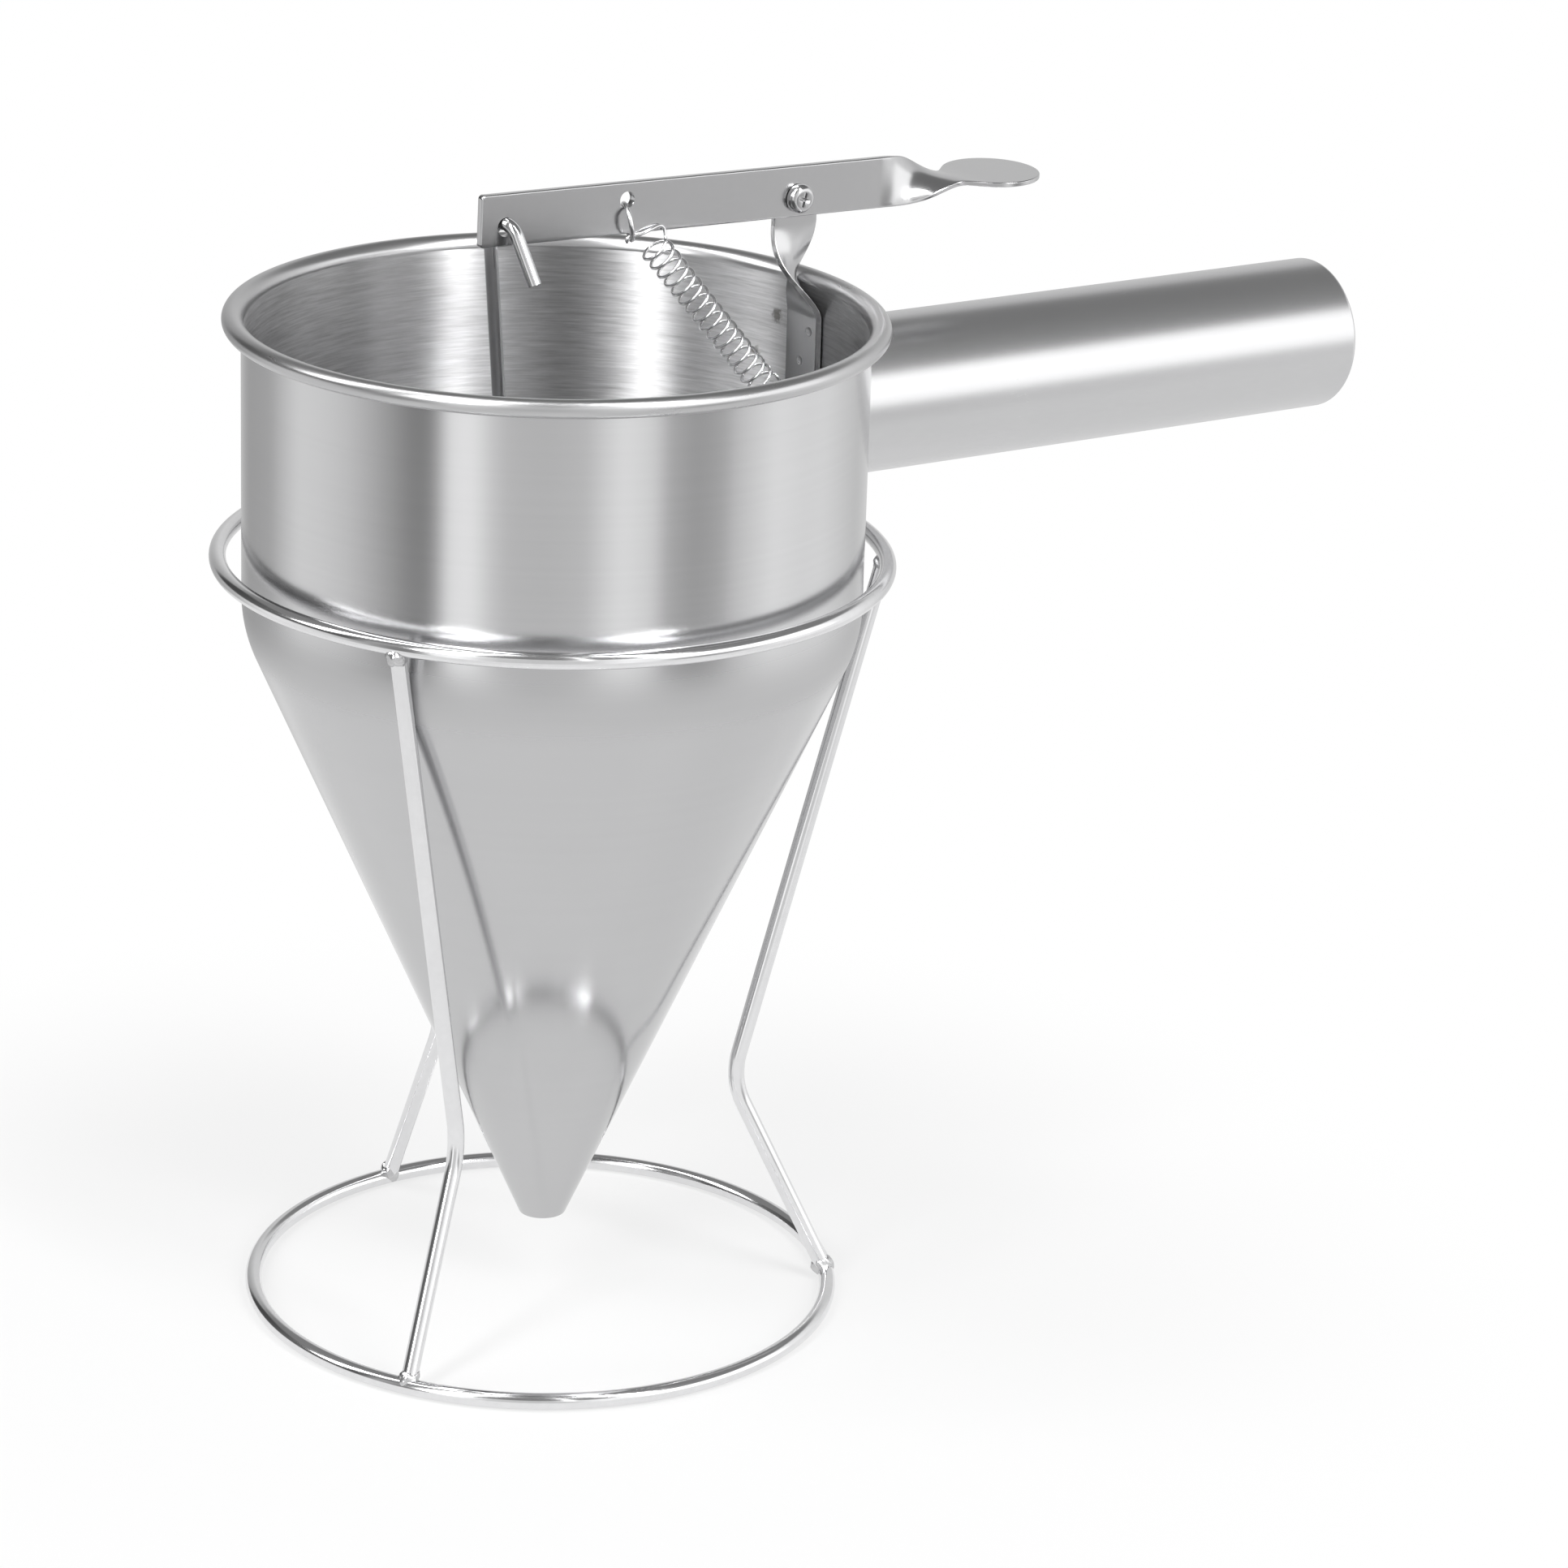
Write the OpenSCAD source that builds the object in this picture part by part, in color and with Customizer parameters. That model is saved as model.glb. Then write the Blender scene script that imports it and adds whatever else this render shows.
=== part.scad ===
// Pancake batter dispenser: a funnel with a lever-worked stopper, standing in a wire stand.
// The funnel's axis is Z, the table is z = 0, and the handle points along +X.

/* [Funnel] */
// Outer diameter of the straight wall
body_d = 147; // [125:0.5:175]
// Diameter of the roll at the rim
roll_d = 4.4; // [3.6:0.1:5]
// Crevice between the roll and the wall
roll_gap = 0.1; // [0.05:0.05:0.3]
// Thickness of the funnel's sheet
wall_t = 0.8; // [0.6:0.1:1.2]
// Height of the straight wall, from the cone's upper corner to the rim's top
wall_h = 76; // [72:1:100]
// Height of the cone, from the nozzle's mouth to its upper corner
cone_h = 152.5; // [145:0.5:160]
// Radius that rounds the shoulder between wall and cone
shoulder_r = 33; // [20:1:40]
// Outer diameter of the nozzle's mouth
mouth_d = 11.6; // [10:0.1:14]
// Height of the nozzle's mouth above the table
mouth_z = 19.7; // [15:0.1:25]

/* [Stand] */
// Thickness of the stand's wire
wire_d = 4; // [3:0.1:4.6]
// Height of the top ring above the cone's upper corner
top_ring_rise = 16.5; // [12:0.5:24]
// Radius of the base ring's centre line
base_ring_r = 71; // [62:1:80]
// Lean of the upper legs from the vertical
leg_lean = 13.8; // [12:0.2:16]
// Height of the knee where the legs turn outward
knee_z = 54; // [46:1:62]
// Bend radius of the knee
knee_r = 20; // [10:1:24]
// Direction of the back leg, seen from above
leg_azimuth = 91; // [80:1:100]
// Reach of a weld bead beyond the wire
bead_reach = 1; // [0.6:0.1:1.3]
// Gap between the shoulder and the legs that carry it
seat_gap = 0.25; // [0.2:0.05:0.4]

/* [Handle] */
// Outer diameter of the grip
handle_d = 38.2; // [32:0.2:40]
// Wall of the grip
handle_t = 1; // [0.8:0.1:1.5]
// Distance from the funnel's axis to the grip's outer end
handle_reach = 231; // [200:1:250]
// Depth of the grip's axis below the rim's top, at the funnel's axis
handle_drop = 30.4; // [28:0.2:34]
// Droop of the grip below the horizontal
handle_droop = 1; // [0:0.5:2]
// Thickness of the end cap's disc
cap_t = 1.2; // [1:0.1:2]
// Depth of the end cap's spigot inside the grip
cap_spigot = 4; // [3:0.5:8]
// Size of the weld bead around the grip
handle_bead = 1.2; // [0.8:0.1:1.8]

/* [Lever] */
// Distance of the pivot inside the funnel's outer wall
pivot_inset = 6.5; // [5.5:0.5:8.5]
// Height of the pivot above the rim's top
pivot_rise = 19.6; // [17:0.2:24]
// Width of the lever's strip
strip_w = 12.4; // [12:0.1:13]
// Thickness of the lever's strip
strip_t = 2; // [1.6:0.1:2.2]
// Height of the strip's middle above the pivot
strip_rise = 1.6; // [1.2:0.1:2]
// Droop of the strip towards the thumb
lever_droop = 1.65; // [0:0.05:3]
// Corner radius at the strip's inner end
strip_corner_r = 1; // [0.5:0.5:4]
// Length of the strip beyond the middle of the rod's hole
strip_end_l = 6.8; // [6:0.2:10]
// Distance of the rod's hole beyond the funnel's axis
rod_hole_past = 15.2; // [13:0.2:16]
// Diameter of the rod's hole
rod_hole_d = 4.6; // [4.6:0.1:6]
// Distance between the rod's hole and the ring's hole
hole_spacing = 33.2; // [28:0.2:38]
// Diameter of the ring's hole
ring_hole_d = 4; // [3.8:0.1:4.2]
// Height of the ring's hole above the middle of the strip
ring_hole_rise = 2; // [1.8:0.1:2.2]
// Distance from the pivot to the start of the twist
twist_x = 24; // [20:0.5:28]
// Length of the twist
twist_l = 23.6; // [20:0.2:32]
// Drop of the strip's middle along the twist
twist_drop = 0.8; // [0:0.1:3]
// Width of the neck before the paddle
neck_w = 10.4; // [9:0.1:12.4]
// Length of the paddle
paddle_l = 21.8; // [18:0.2:30]
// Width of the paddle
paddle_w = 26.2; // [20:0.2:32]
// Thickness of the pressed paddle
paddle_t = 1.2; // [1:0.1:2]
// Upward tilt of the paddle against the strip
paddle_tilt = 3; // [0:0.2:8]

/* [Pivot] */
// Shank diameter of the pivot screw
screw_d = 3.5; // [3:0.1:4]
// Radial running clearance between screw and lever
pivot_clear = 0.05; // [0.02:0.01:0.1]
// Diameter of the screw's head
head_d = 7; // [6.5:0.1:7.6]
// Height of the screw's head
head_h = 2.6; // [2.2:0.1:3.2]
// Width of the cross recess
cross_w = 0.9; // [0.7:0.1:1.2]
// Side gap beside the lever at the pivot
side_gap = 0.15; // [0.1:0.05:0.3]
// Outer diameter of the washer
washer_d = 8; // [7:0.5:9]
// Thickness of the washer
washer_t = 0.5; // [0.4:0.1:0.8]
// Width of the nut across its flats
nut_af = 6; // [5.5:0.1:7]
// Thickness of the nut
nut_h = 2.8; // [2:0.1:3.2]
// Length of thread that stands out of the nut
thread_out = 0.9; // [0.5:0.1:2]

/* [Bracket] */
// Width of the bracket's strap
strap_w = 12.4; // [11.6:0.1:13]
// Thickness of the bracket's strap
strap_t = 1.6; // [1.2:0.1:2]
// Distance of the strap's middle beyond the pivot
strap_shift = 1.4; // [0:0.1:1.6]
// Depth of the twist's upper end below the pivot
strap_twist_drop = 6.8; // [6.4:0.1:8]
// Depth of the flat foot's upper end below the rim's top
strap_foot_drop = 10.2; // [8:0.2:12]
// Depth of the strap's lower end below the rim's top
strap_low_drop = 31.2; // [29:0.2:34]
// Sideways place of the strap's foot
strap_foot_y = 1.2; // [0:0.1:2]
// Diameter of a spot weld
spot_d = 2.6; // [2:0.1:3.5]
// Depth of the dimple that a spot weld leaves
spot_sink = 0.3; // [0.1:0.1:0.5]
// Length of the spring tab at the strap's lower end
tab_l = 7.5; // [7:0.1:8.5]
// Diameter of the hole in the spring tab
tab_hole_d = 3; // [2.6:0.1:3.4]
// Width of the bar that the hole leaves at the tab's end
tab_bar_w = 1.6; // [1.4:0.1:1.8]

/* [Spring and ring] */
// Thickness of the link ring's wire
link_wire_d = 1.1; // [1:0.1:1.2]
// Radius of the link ring's centre line
link_r = 4.4; // [4:0.1:4.8]
// Lean of the link ring towards the spring
link_lean = 10; // [4:1:12]
// Turn of the link ring about its hanging line
link_turn = 17; // [0:1:20]
// Play of the link ring in its hole
link_play = 0.2; // [0.2:0.05:0.3]
// Thickness of the spring's wire
spring_wire_d = 0.8; // [0.7:0.05:0.9]
// Outer diameter of the coil
coil_d = 7.8; // [7:0.1:8.4]
// Number of curls
curl_count = 16; // [12:1:20]
// Length of each end hook along the coil's axis
hook_l = 6; // [5.4:0.2:7]
// Gap between an end hook and what it holds
hook_gap = 0.1; // [0.1:0.05:0.2]

/* [Stopper] */
// Diameter of the rod
rod_d = 3.2; // [3:0.1:3.3]
// Radius of the hook's bend
rod_hook_r = 4.6; // [4.2:0.1:5.4]
// Angle that the hook's bend turns through
rod_hook_turn = 156; // [150:1:165]
// Length of the hook's free end
rod_hook_l = 11.7; // [8:0.1:14]
// Direction of the hook against the lever, seen from above
rod_hook_azimuth = 76; // [70:1:80]
// Height of the hook's wire above the middle of its hole
rod_hook_rise = 0.5; // [0:0.1:0.6]
// Radius of the plug, which is round below so that it seats at any tilt
plug_r = 6; // [5.8:0.1:7]
// Height of the plug above the middle of its round
plug_h = 8; // [6:0.5:12]
// Height of the plug's lower end above the nozzle's mouth
plug_rise = 1; // [0.8:0.1:1.6]
// Bevel at the plug's upper edge
plug_bevel = 0.8; // [0.4:0.1:1.2]
// Gap between plug and cone
plug_gap = 0.25; // [0.2:0.05:0.4]

/* [Hidden] */

// Smoothness of round pieces, of arcs in outlines and of the twists, and one overrun for all cuts
$fn = 96;
arc_steps = 10;
twist_steps = 14;
cut_over = 1;
leg_count = 3;

// Funnel
tip_r = mouth_d / 2;
body_r = body_d / 2;
inner_r = body_r - wall_t;
rim_r = body_r + roll_gap + roll_d;
roll_r = roll_d / 2;
corner_z = mouth_z + cone_h;
rim_top_z = corner_z + wall_h;
cone_lean = atan((body_r - tip_r) / cone_h);
shoulder_tan = shoulder_r * tan(cone_lean / 2);
shoulder_c = [body_r - shoulder_r, corner_z + shoulder_tan];
// Radius of the cone's inner face at a height
function cone_inner_r(z) = tip_r + (z - mouth_z) * tan(cone_lean) - wall_t / cos(cone_lean);

// Stand: a leg's centre line runs beside the shoulder's round, and the ring sits on the legs' ends
wire_r = wire_d / 2;
bead_r = wire_r + bead_reach;
function leg_r(z) = shoulder_c.x + (shoulder_r + seat_gap + wire_r) / cos(leg_lean)
    + (z - shoulder_c.y) * tan(leg_lean);
top_ring_z = corner_z + top_ring_rise;
top_ring_r = leg_r(top_ring_z);
knee = [leg_r(knee_z), knee_z];
foot = [base_ring_r, wire_r];
foot_lean = atan((foot.x - knee.x) / (knee.y - foot.y));
knee_tan = knee_r * tan((leg_lean + foot_lean) / 2);
knee_up = knee + knee_tan * [sin(leg_lean), cos(leg_lean)];
knee_down = knee + knee_tan * [sin(foot_lean), -cos(foot_lean)];
knee_c = knee_up + knee_r * [cos(leg_lean), -sin(leg_lean)];
// A leg stops short of the middle of each ring by a share of the wire
butt_share = 0.3;
leg_top_z = top_ring_z - butt_share * wire_r;
leg_foot = foot + butt_share * wire_r * [-sin(foot_lean), cos(foot_lean)];

// Handle
handle_r = handle_d / 2;
handle_z = rim_top_z - handle_drop;
handle_turn = 90 + handle_droop;
handle_l = handle_reach / cos(handle_droop);

// Pivot and bracket, from the lever's face backwards
pivot_x = body_r - pivot_inset;
pivot_z = rim_top_z + pivot_rise;
screw_r = screw_d / 2;
lever_face = strip_t / 2;
head_y = -lever_face - side_gap;
washer_y = lever_face + side_gap;
strap_x = pivot_x + strap_shift;
strap_y = washer_y + washer_t;
strap_mid_y = strap_y + strap_t / 2;
nut_y = strap_y + strap_t;
screw_end_y = nut_y + nut_h + thread_out;
strap_twist_z = pivot_z - strap_twist_drop;
strap_foot_z = rim_top_z - strap_foot_drop;
strap_low_z = rim_top_z - strap_low_drop;
// The flat foot touches the round wall at its farther edge
foot_edge_y = strap_foot_y + strap_w / 2;
strap_back_x = sqrt(inner_r * inner_r - foot_edge_y * foot_edge_y);
strap_front_x = strap_back_x - strap_t;
// Heights of the spot welds along the foot, and their places across it
foot_h = strap_foot_z - strap_low_z;
spot_height_shares = [0.84, 0.46];
spot_side_shares = [-0.26, 0.02];

// Places along the strip, counted inward from the pivot
rod_hole_x = pivot_x + rod_hole_past;
ring_hole_x = rod_hole_x - hole_spacing;
inner_reach = rod_hole_x + strip_end_l;
// Lever places [x, z] for a place along the strip and a height above the pivot
function lever_point(x, z) = [
    pivot_x + x * cos(lever_droop) + z * sin(lever_droop),
    pivot_z - x * sin(lever_droop) + z * cos(lever_droop)
];
rod_hole = lever_point(-rod_hole_x, 0);
ring_hole = lever_point(-ring_hole_x, strip_rise + ring_hole_rise);
neck_k = neck_w / paddle_w;
paddle_a = paddle_l / (1 + sqrt(1 - neck_k * neck_k));
paddle_t0 = 180 - asin(neck_k);

// Link ring: it hangs on the lower edge of its hole and leans towards the spring
link_wire_r = link_wire_d / 2;
link_dir = [sin(link_lean), -cos(link_lean)];
link_top = ring_hole + (ring_hole_d / 2 - link_wire_r - link_play) * link_dir;
link_c = link_top + link_r * link_dir;
link_low = link_c + link_r * link_dir;

// Spring: from the link ring's lower wire to the bar of the tab, with the coil's axis beside the ring
spring_wire_r = spring_wire_d / 2;
coil_r = (coil_d - spring_wire_d) / 2;
tab_bar_x = strap_front_x - tab_l + tab_bar_w / 2;
tab_mid_z = strap_low_z + strap_t / 2;
function unit(v) = v / norm(v);
function square_to_y(v) = unit(cross(v, [0, 1, 0]));
spring_hold = [link_low.x, 0, link_low.y];
spring_b = [tab_bar_x, strap_foot_y, tab_mid_z];
spring_a = spring_hold + coil_r * square_to_y(spring_b - spring_hold);
spring_l = norm(spring_b - spring_a);
top_hook_r = link_wire_r + spring_wire_r + hook_gap;
low_hook_r = norm([tab_bar_w, strap_t]) / 2 + spring_wire_r + hook_gap;
spring_d = unit(spring_b - spring_a);
spring_side = square_to_y(spring_d);

// Rod: from the plug to the hook, which passes through the middle of its hole
rod_r = rod_d / 2;
rod_y = rod_hook_r * sin(rod_hook_azimuth);
plug_c_z = mouth_z + ((plug_r + plug_gap + wall_t) / cos(cone_lean) - tip_r) / tan(cone_lean);
plug_low = plug_c_z - mouth_z - plug_rise;
rod_low = [0, 0, plug_c_z];
rod_slope = rod_hole.x / (rod_hole.y - plug_c_z);
rod_top = [
    rod_hole.x - rod_hook_r * (cos(rod_hook_azimuth) + rod_slope),
    rod_y,
    rod_hole.y + rod_hook_rise - rod_hook_r
];
rod_v = rod_top - rod_low;
rod_l = norm(rod_v);
rod_tilt = acos(rod_v.z / rod_l);
rod_azimuth = atan2(rod_v.y, rod_v.x);

// A slow start and a slow end for the twists
function ease(u) = u * u * (3 - 2 * u);
function mix(a, b, u) = a + (b - a) * u;

// A straight round bar between two places
module bar(from, to, r) {
    v = to - from;
    translate(from) rotate([0, acos(v.z / norm(v)), atan2(v.y, v.x)]) cylinder(r = r, h = norm(v));
}

// A round that closes the joint between two runs of wire, as a share of the wire's radius
joint_share = 1.01;
module joint(place, r) {
    translate(place) sphere(r * joint_share);
}

// A round wire ring about Z
module ring(ring_r, r) {
    rotate_extrude() translate([ring_r, 0]) circle(r);
}

// A flat bar that turns about its length: one four-cornered section for each item of the list
module section_sweep(sections) {
    n = len(sections);
    points = [for (s = sections, p = s) p];
    sides = [
        for (i = [0 : n - 2], k = [0 : 3])
            let (a = 4 * i + k, b = 4 * i + (k + 1) % 4)
            each [[a, b, a + 4], [b, b + 4, a + 4]]
    ];
    last = 4 * (n - 1);
    ends = [[0, 2, 1], [0, 3, 2], [last, last + 1, last + 2], [last, last + 2, last + 3]];
    polyhedron(points = points, faces = concat(sides, ends));
}

// Four corners of a section from its middle, its half width and its half thickness
function corners(c, w, t) = [c - w - t, c + w - t, c + w + t, c - w + t];

// Stand
module top_ring() {
    color("gainsboro") translate([0, 0, top_ring_z]) ring(top_ring_r, wire_r);
}

module base_ring() {
    color("gainsboro") translate([0, 0, wire_r]) ring(base_ring_r, wire_r);
}

module leg_wire() {
    bar([knee_up.x, 0, knee_up.y], [leg_r(leg_top_z), 0, leg_top_z], wire_r);
    bar([leg_foot.x, 0, leg_foot.y], [knee_down.x, 0, knee_down.y], wire_r);
    joint([knee_up.x, 0, knee_up.y], wire_r);
    joint([knee_down.x, 0, knee_down.y], wire_r);
    translate([knee_c.x, 0, knee_c.y]) rotate([90, 0, 0]) rotate([0, 0, 180 - leg_lean])
        rotate_extrude(angle = leg_lean + foot_lean) translate([knee_r, 0]) circle(wire_r);
}

module leg(number) {
    color("gainsboro") difference() {
        rotate([0, 0, leg_azimuth + number * 360 / leg_count]) leg_wire();
        top_ring();
        base_ring();
    }
}

module leg_back() {
    leg(0);
}

module leg_front() {
    leg(1);
}

module leg_right() {
    leg(2);
}

module ring_welds() {
    bead_z = top_ring_z - wire_r;
    color("silver") difference() {
        for (i = [0 : leg_count - 1])
            rotate([0, 0, leg_azimuth + i * 360 / leg_count])
                translate([leg_r(bead_z), 0, bead_z]) sphere(bead_r);
        top_ring();
        for (i = [0 : leg_count - 1]) rotate([0, 0, leg_azimuth + i * 360 / leg_count]) leg_wire();
    }
}

module foot_welds() {
    bead_z = foot.y + wire_r;
    color("silver") difference() {
        for (i = [0 : leg_count - 1])
            rotate([0, 0, leg_azimuth + i * 360 / leg_count])
                translate([foot.x - wire_r * tan(foot_lean), 0, bead_z]) sphere(bead_r);
        base_ring();
        for (i = [0 : leg_count - 1]) rotate([0, 0, leg_azimuth + i * 360 / leg_count]) leg_wire();
    }
}

// Points of the shoulder's round at a distance inward from the outer face
function shoulder_arc(inset) = [
    for (i = [0 : arc_steps])
        let (a = -cone_lean * (1 - i / arc_steps))
        shoulder_c + (shoulder_r - inset) * [cos(a), sin(a)]
];

// Points of the lip from the inner wall over to the top of the roll
lip_r = rim_r - roll_r - inner_r;
lip_arc = [
    for (i = [0 : arc_steps])
        let (a = 180 - 90 * i / arc_steps)
        [rim_r - roll_r + lip_r * cos(a), rim_top_z - lip_r + lip_r * sin(a)]
];

module funnel_shell() {
    roll_c = [rim_r - roll_r, rim_top_z - roll_r];
    color("lightgray") rotate_extrude() {
        polygon(concat(
            [[tip_r, mouth_z]],
            shoulder_arc(0),
            [[body_r, roll_c.y], roll_c],
            [for (i = [arc_steps : -1 : 0]) lip_arc[i]],
            [for (i = [arc_steps : -1 : 0]) shoulder_arc(wall_t)[i]],
            [[cone_inner_r(mouth_z), mouth_z]]
        ));
        translate(roll_c) circle(roll_r);
    }
}

// Handle
module on_handle() {
    translate([0, 0, handle_z]) rotate([0, handle_turn, 0]) children();
}

module handle_tube() {
    color("silver") difference() {
        on_handle() cylinder(r = handle_r, h = handle_l - cap_t);
        on_handle() cylinder(r = handle_r - handle_t, h = handle_l);
        cylinder(r = body_r, h = rim_top_z);
    }
}

module handle_end_cap() {
    edge = [for (i = [0 : arc_steps]) let (a = 90 * i / arc_steps)
        [handle_r - cap_t + cap_t * cos(a), handle_l - cap_t + cap_t * sin(a)]];
    spigot_r = handle_r - handle_t;
    color("silver") on_handle() rotate_extrude() polygon(concat(
        [[spigot_r - cap_t, handle_l - cap_t - cap_spigot], [spigot_r, handle_l - cap_t - cap_spigot]],
        [[spigot_r, handle_l - cap_t]],
        edge,
        [[0, handle_l], [0, handle_l - cap_t], [spigot_r - cap_t, handle_l - cap_t]]
    ));
}

module handle_weld() {
    color("silver") difference() {
        intersection() {
            on_handle() cylinder(r = handle_r + handle_bead, h = handle_l);
            cylinder(r = body_r + handle_bead, h = rim_top_z);
        }
        on_handle() cylinder(r = handle_r, h = handle_l);
        cylinder(r = body_r, h = rim_top_z);
    }
}

// Bracket
module strap_head() {
    translate([strap_x, nut_y, pivot_z]) rotate([90, 0, 0]) linear_extrude(strap_t) {
        circle(strap_w / 2);
        translate([-strap_w / 2, -strap_twist_drop]) square([strap_w, strap_twist_drop]);
    }
}

// The turning strap keeps its outer edge clear of the wall
module strap_twist() {
    section_sweep([
        for (i = [0 : twist_steps])
            let (u = i / twist_steps, s = ease(u), a = 90 * s)
            corners(
                [mix(strap_x, strap_back_x - strap_w / 2 * cos(a) - strap_t / 2 * sin(a), u),
                    mix(strap_mid_y, strap_foot_y, s), mix(strap_twist_z, strap_foot_z, u)],
                strap_w / 2 * [cos(a), sin(a), 0],
                strap_t / 2 * [-sin(a), cos(a), 0]
            )
    ]);
}

module strap_foot() {
    translate([strap_front_x, strap_foot_y - strap_w / 2, strap_low_z])
        cube([strap_t, strap_w, foot_h]);
    translate([strap_front_x - tab_l + strap_w / 2, strap_foot_y, strap_low_z]) {
        cylinder(r = strap_w / 2, h = strap_t);
        translate([0, -strap_w / 2, 0]) cube([tab_l - strap_w / 2, strap_w, strap_t]);
    }
}

module at_spots() {
    for (i = [0 : len(spot_height_shares) - 1])
        translate([strap_front_x, strap_foot_y + spot_side_shares[i] * strap_w,
            strap_low_z + spot_height_shares[i] * foot_h])
            rotate([0, 90, 0]) children();
}

module pivot_bracket() {
    tab_hole_x = tab_bar_x + tab_bar_w / 2 + tab_hole_d / 2;
    color("darkgray") difference() {
        union() {
            strap_head();
            strap_twist();
            intersection() {
                strap_foot();
                cylinder(r = inner_r, h = rim_top_z);
            }
        }
        translate([pivot_x, strap_y - cut_over, pivot_z]) rotate([-90, 0, 0])
            cylinder(r = screw_r, h = strap_t + 2 * cut_over);
        translate([tab_hole_x, strap_foot_y, strap_low_z - cut_over])
            cylinder(d = tab_hole_d, h = strap_t + 2 * cut_over);
        at_spots() translate([0, 0, -cut_over]) cylinder(d = spot_d, h = strap_t + 2 * cut_over);
    }
}

module spot_welds() {
    color("gray") at_spots() translate([0, 0, spot_sink])
        cylinder(d = spot_d, h = strap_t - spot_sink);
}

// Pivot, built along its own axis, which runs from the thumb's left side to the back
module on_pivot(y) {
    translate([pivot_x, y, pivot_z]) rotate([-90, 0, 0]) children();
}

module pivot_screw() {
    head_r = head_d / 2;
    dome = [for (i = [0 : arc_steps]) let (a = 90 * i / arc_steps)
        [head_r - head_h / 2 * (1 - cos(a)), -head_h / 2 - head_h / 2 * sin(a)]];
    color("silver") difference() {
        on_pivot(head_y) {
            rotate_extrude() polygon(concat([[0, 0], [head_r, 0]], dome, [[0, -head_h]]));
            cylinder(r = screw_r, h = screw_end_y - head_y);
        }
        on_pivot(head_y) for (turn = [0, 90]) rotate([0, 0, turn])
            translate([0, 0, -head_h]) cube([head_r, cross_w, head_h], center = true);
    }
}

module washer(r, h) {
    difference() {
        cylinder(r = r, h = h);
        translate([0, 0, -cut_over]) cylinder(r = screw_r, h = h + 2 * cut_over);
    }
}

module pivot_washer() {
    color("lightgray") on_pivot(washer_y) washer(washer_d / 2, washer_t);
}

module pivot_nut() {
    color("silver") on_pivot(nut_y) difference() {
        cylinder(d = nut_af / cos(30), h = nut_h, $fn = 6);
        translate([0, 0, -cut_over]) cylinder(r = screw_r, h = nut_h + 2 * cut_over);
    }
}

// Spring
// A place in the spring's frame: along its axis, outward and sideways
function spring_point(along, out, side) =
    spring_a + along * spring_d + out * spring_side + side * [0, 1, 0];

// A smooth curve through four handles
function curve(p, u) = pow(1 - u, 3) * p[0] + 3 * u * pow(1 - u, 2) * p[1]
    + 3 * u * u * (1 - u) * p[2] + pow(u, 3) * p[3];

curl_rings = 8;
hook_rings = 7;
coil_start = 36;
// Each hook holds part of the way round, then leaves towards the coil
hold_c = [(spring_hold - spring_a) * spring_d, (spring_hold - spring_a) * spring_side, 0];
top_leave = 162;
top_hold = [for (i = [0 : hook_rings]) let (a = mix(270, top_leave, i / hook_rings))
    hold_c + top_hook_r * [cos(a), sin(a), 0]];
coil_turns = curl_count * curl_rings;
coil = [for (i = [0 : coil_turns]) let (u = i / coil_turns, a = mix(coil_start, 360 * curl_count, u))
    [mix(hook_l, spring_l - hook_l, u), coil_r * cos(a), -coil_r * sin(a)]];
low_hold = [for (i = [0 : hook_rings]) let (a = 60 - 180 * i / hook_rings)
    [spring_l + low_hook_r * cos(a), low_hook_r * sin(a), 0]];
// The uppermost curl is opened in front of the lever: the pull of its ends, as shares of the coil's radius
open_shares = [0.62, 0.66, -1.1];
close_shares = [-1.2, 1.3, 0.5];
top_lead = [for (i = [1 : hook_rings - 1]) curve([
    top_hold[hook_rings],
    top_hold[hook_rings] + coil_r * open_shares,
    coil[0] + coil_r * close_shares,
    coil[0]
], i / hook_rings)];
low_lead = [for (i = [1 : hook_rings - 1]) curve([
    coil[coil_turns],
    coil[coil_turns] - coil_r * [0, 0, 1],
    low_hold[0] - coil_r / 2 * [sin(60), -cos(60), 0],
    low_hold[0]
], i / hook_rings)];
spring_path = [
    for (p = concat(top_hold, top_lead, coil, low_lead, low_hold)) spring_point(p[0], p[1], p[2])
];
path_n = len(spring_path);

// Directions along the path, and across it with the least turning
along_path = [for (i = [0 : path_n - 1])
    unit(spring_path[min(i + 1, path_n - 1)] - spring_path[max(i - 1, 0)])];
function square_to(v, t) = unit(v - (v * t) * t);
across_path = [for (i = 0, v = square_to([0, 1, 0], along_path[0]); i < path_n;
    i = i + 1, v = i < path_n ? square_to(v, along_path[i]) : v) v];

wire_sides = 6;
module wire_tube(path, r) {
    points = [for (i = [0 : path_n - 1], k = [0 : wire_sides - 1])
        let (a = 360 * k / wire_sides)
        path[i] + r * (cos(a) * across_path[i] + sin(a) * cross(along_path[i], across_path[i]))];
    sides = [
        for (i = [0 : path_n - 2], k = [0 : wire_sides - 1])
            let (a = wire_sides * i + k, b = wire_sides * i + (k + 1) % wire_sides)
            each [[a, a + wire_sides, b], [b, a + wire_sides, b + wire_sides]]
    ];
    last = wire_sides * (path_n - 1);
    ends = [
        for (k = [1 : wire_sides - 2]) each [[0, k, k + 1], [last, last + k + 1, last + k]]
    ];
    polyhedron(points = points, faces = concat(sides, ends));
}

// Least gap between parts of the spring that lie more than half a curl apart
spring_gap = min([
    for (i = [0 : path_n - 1], j = [i + curl_rings / 2 + 1 : 1 : path_n - 1])
        norm(spring_path[i] - spring_path[j])
]) - spring_wire_d;
echo(spring_gap = spring_gap);

module return_spring() {
    color("whitesmoke") wire_tube(spring_path, spring_wire_r);
}

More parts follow.
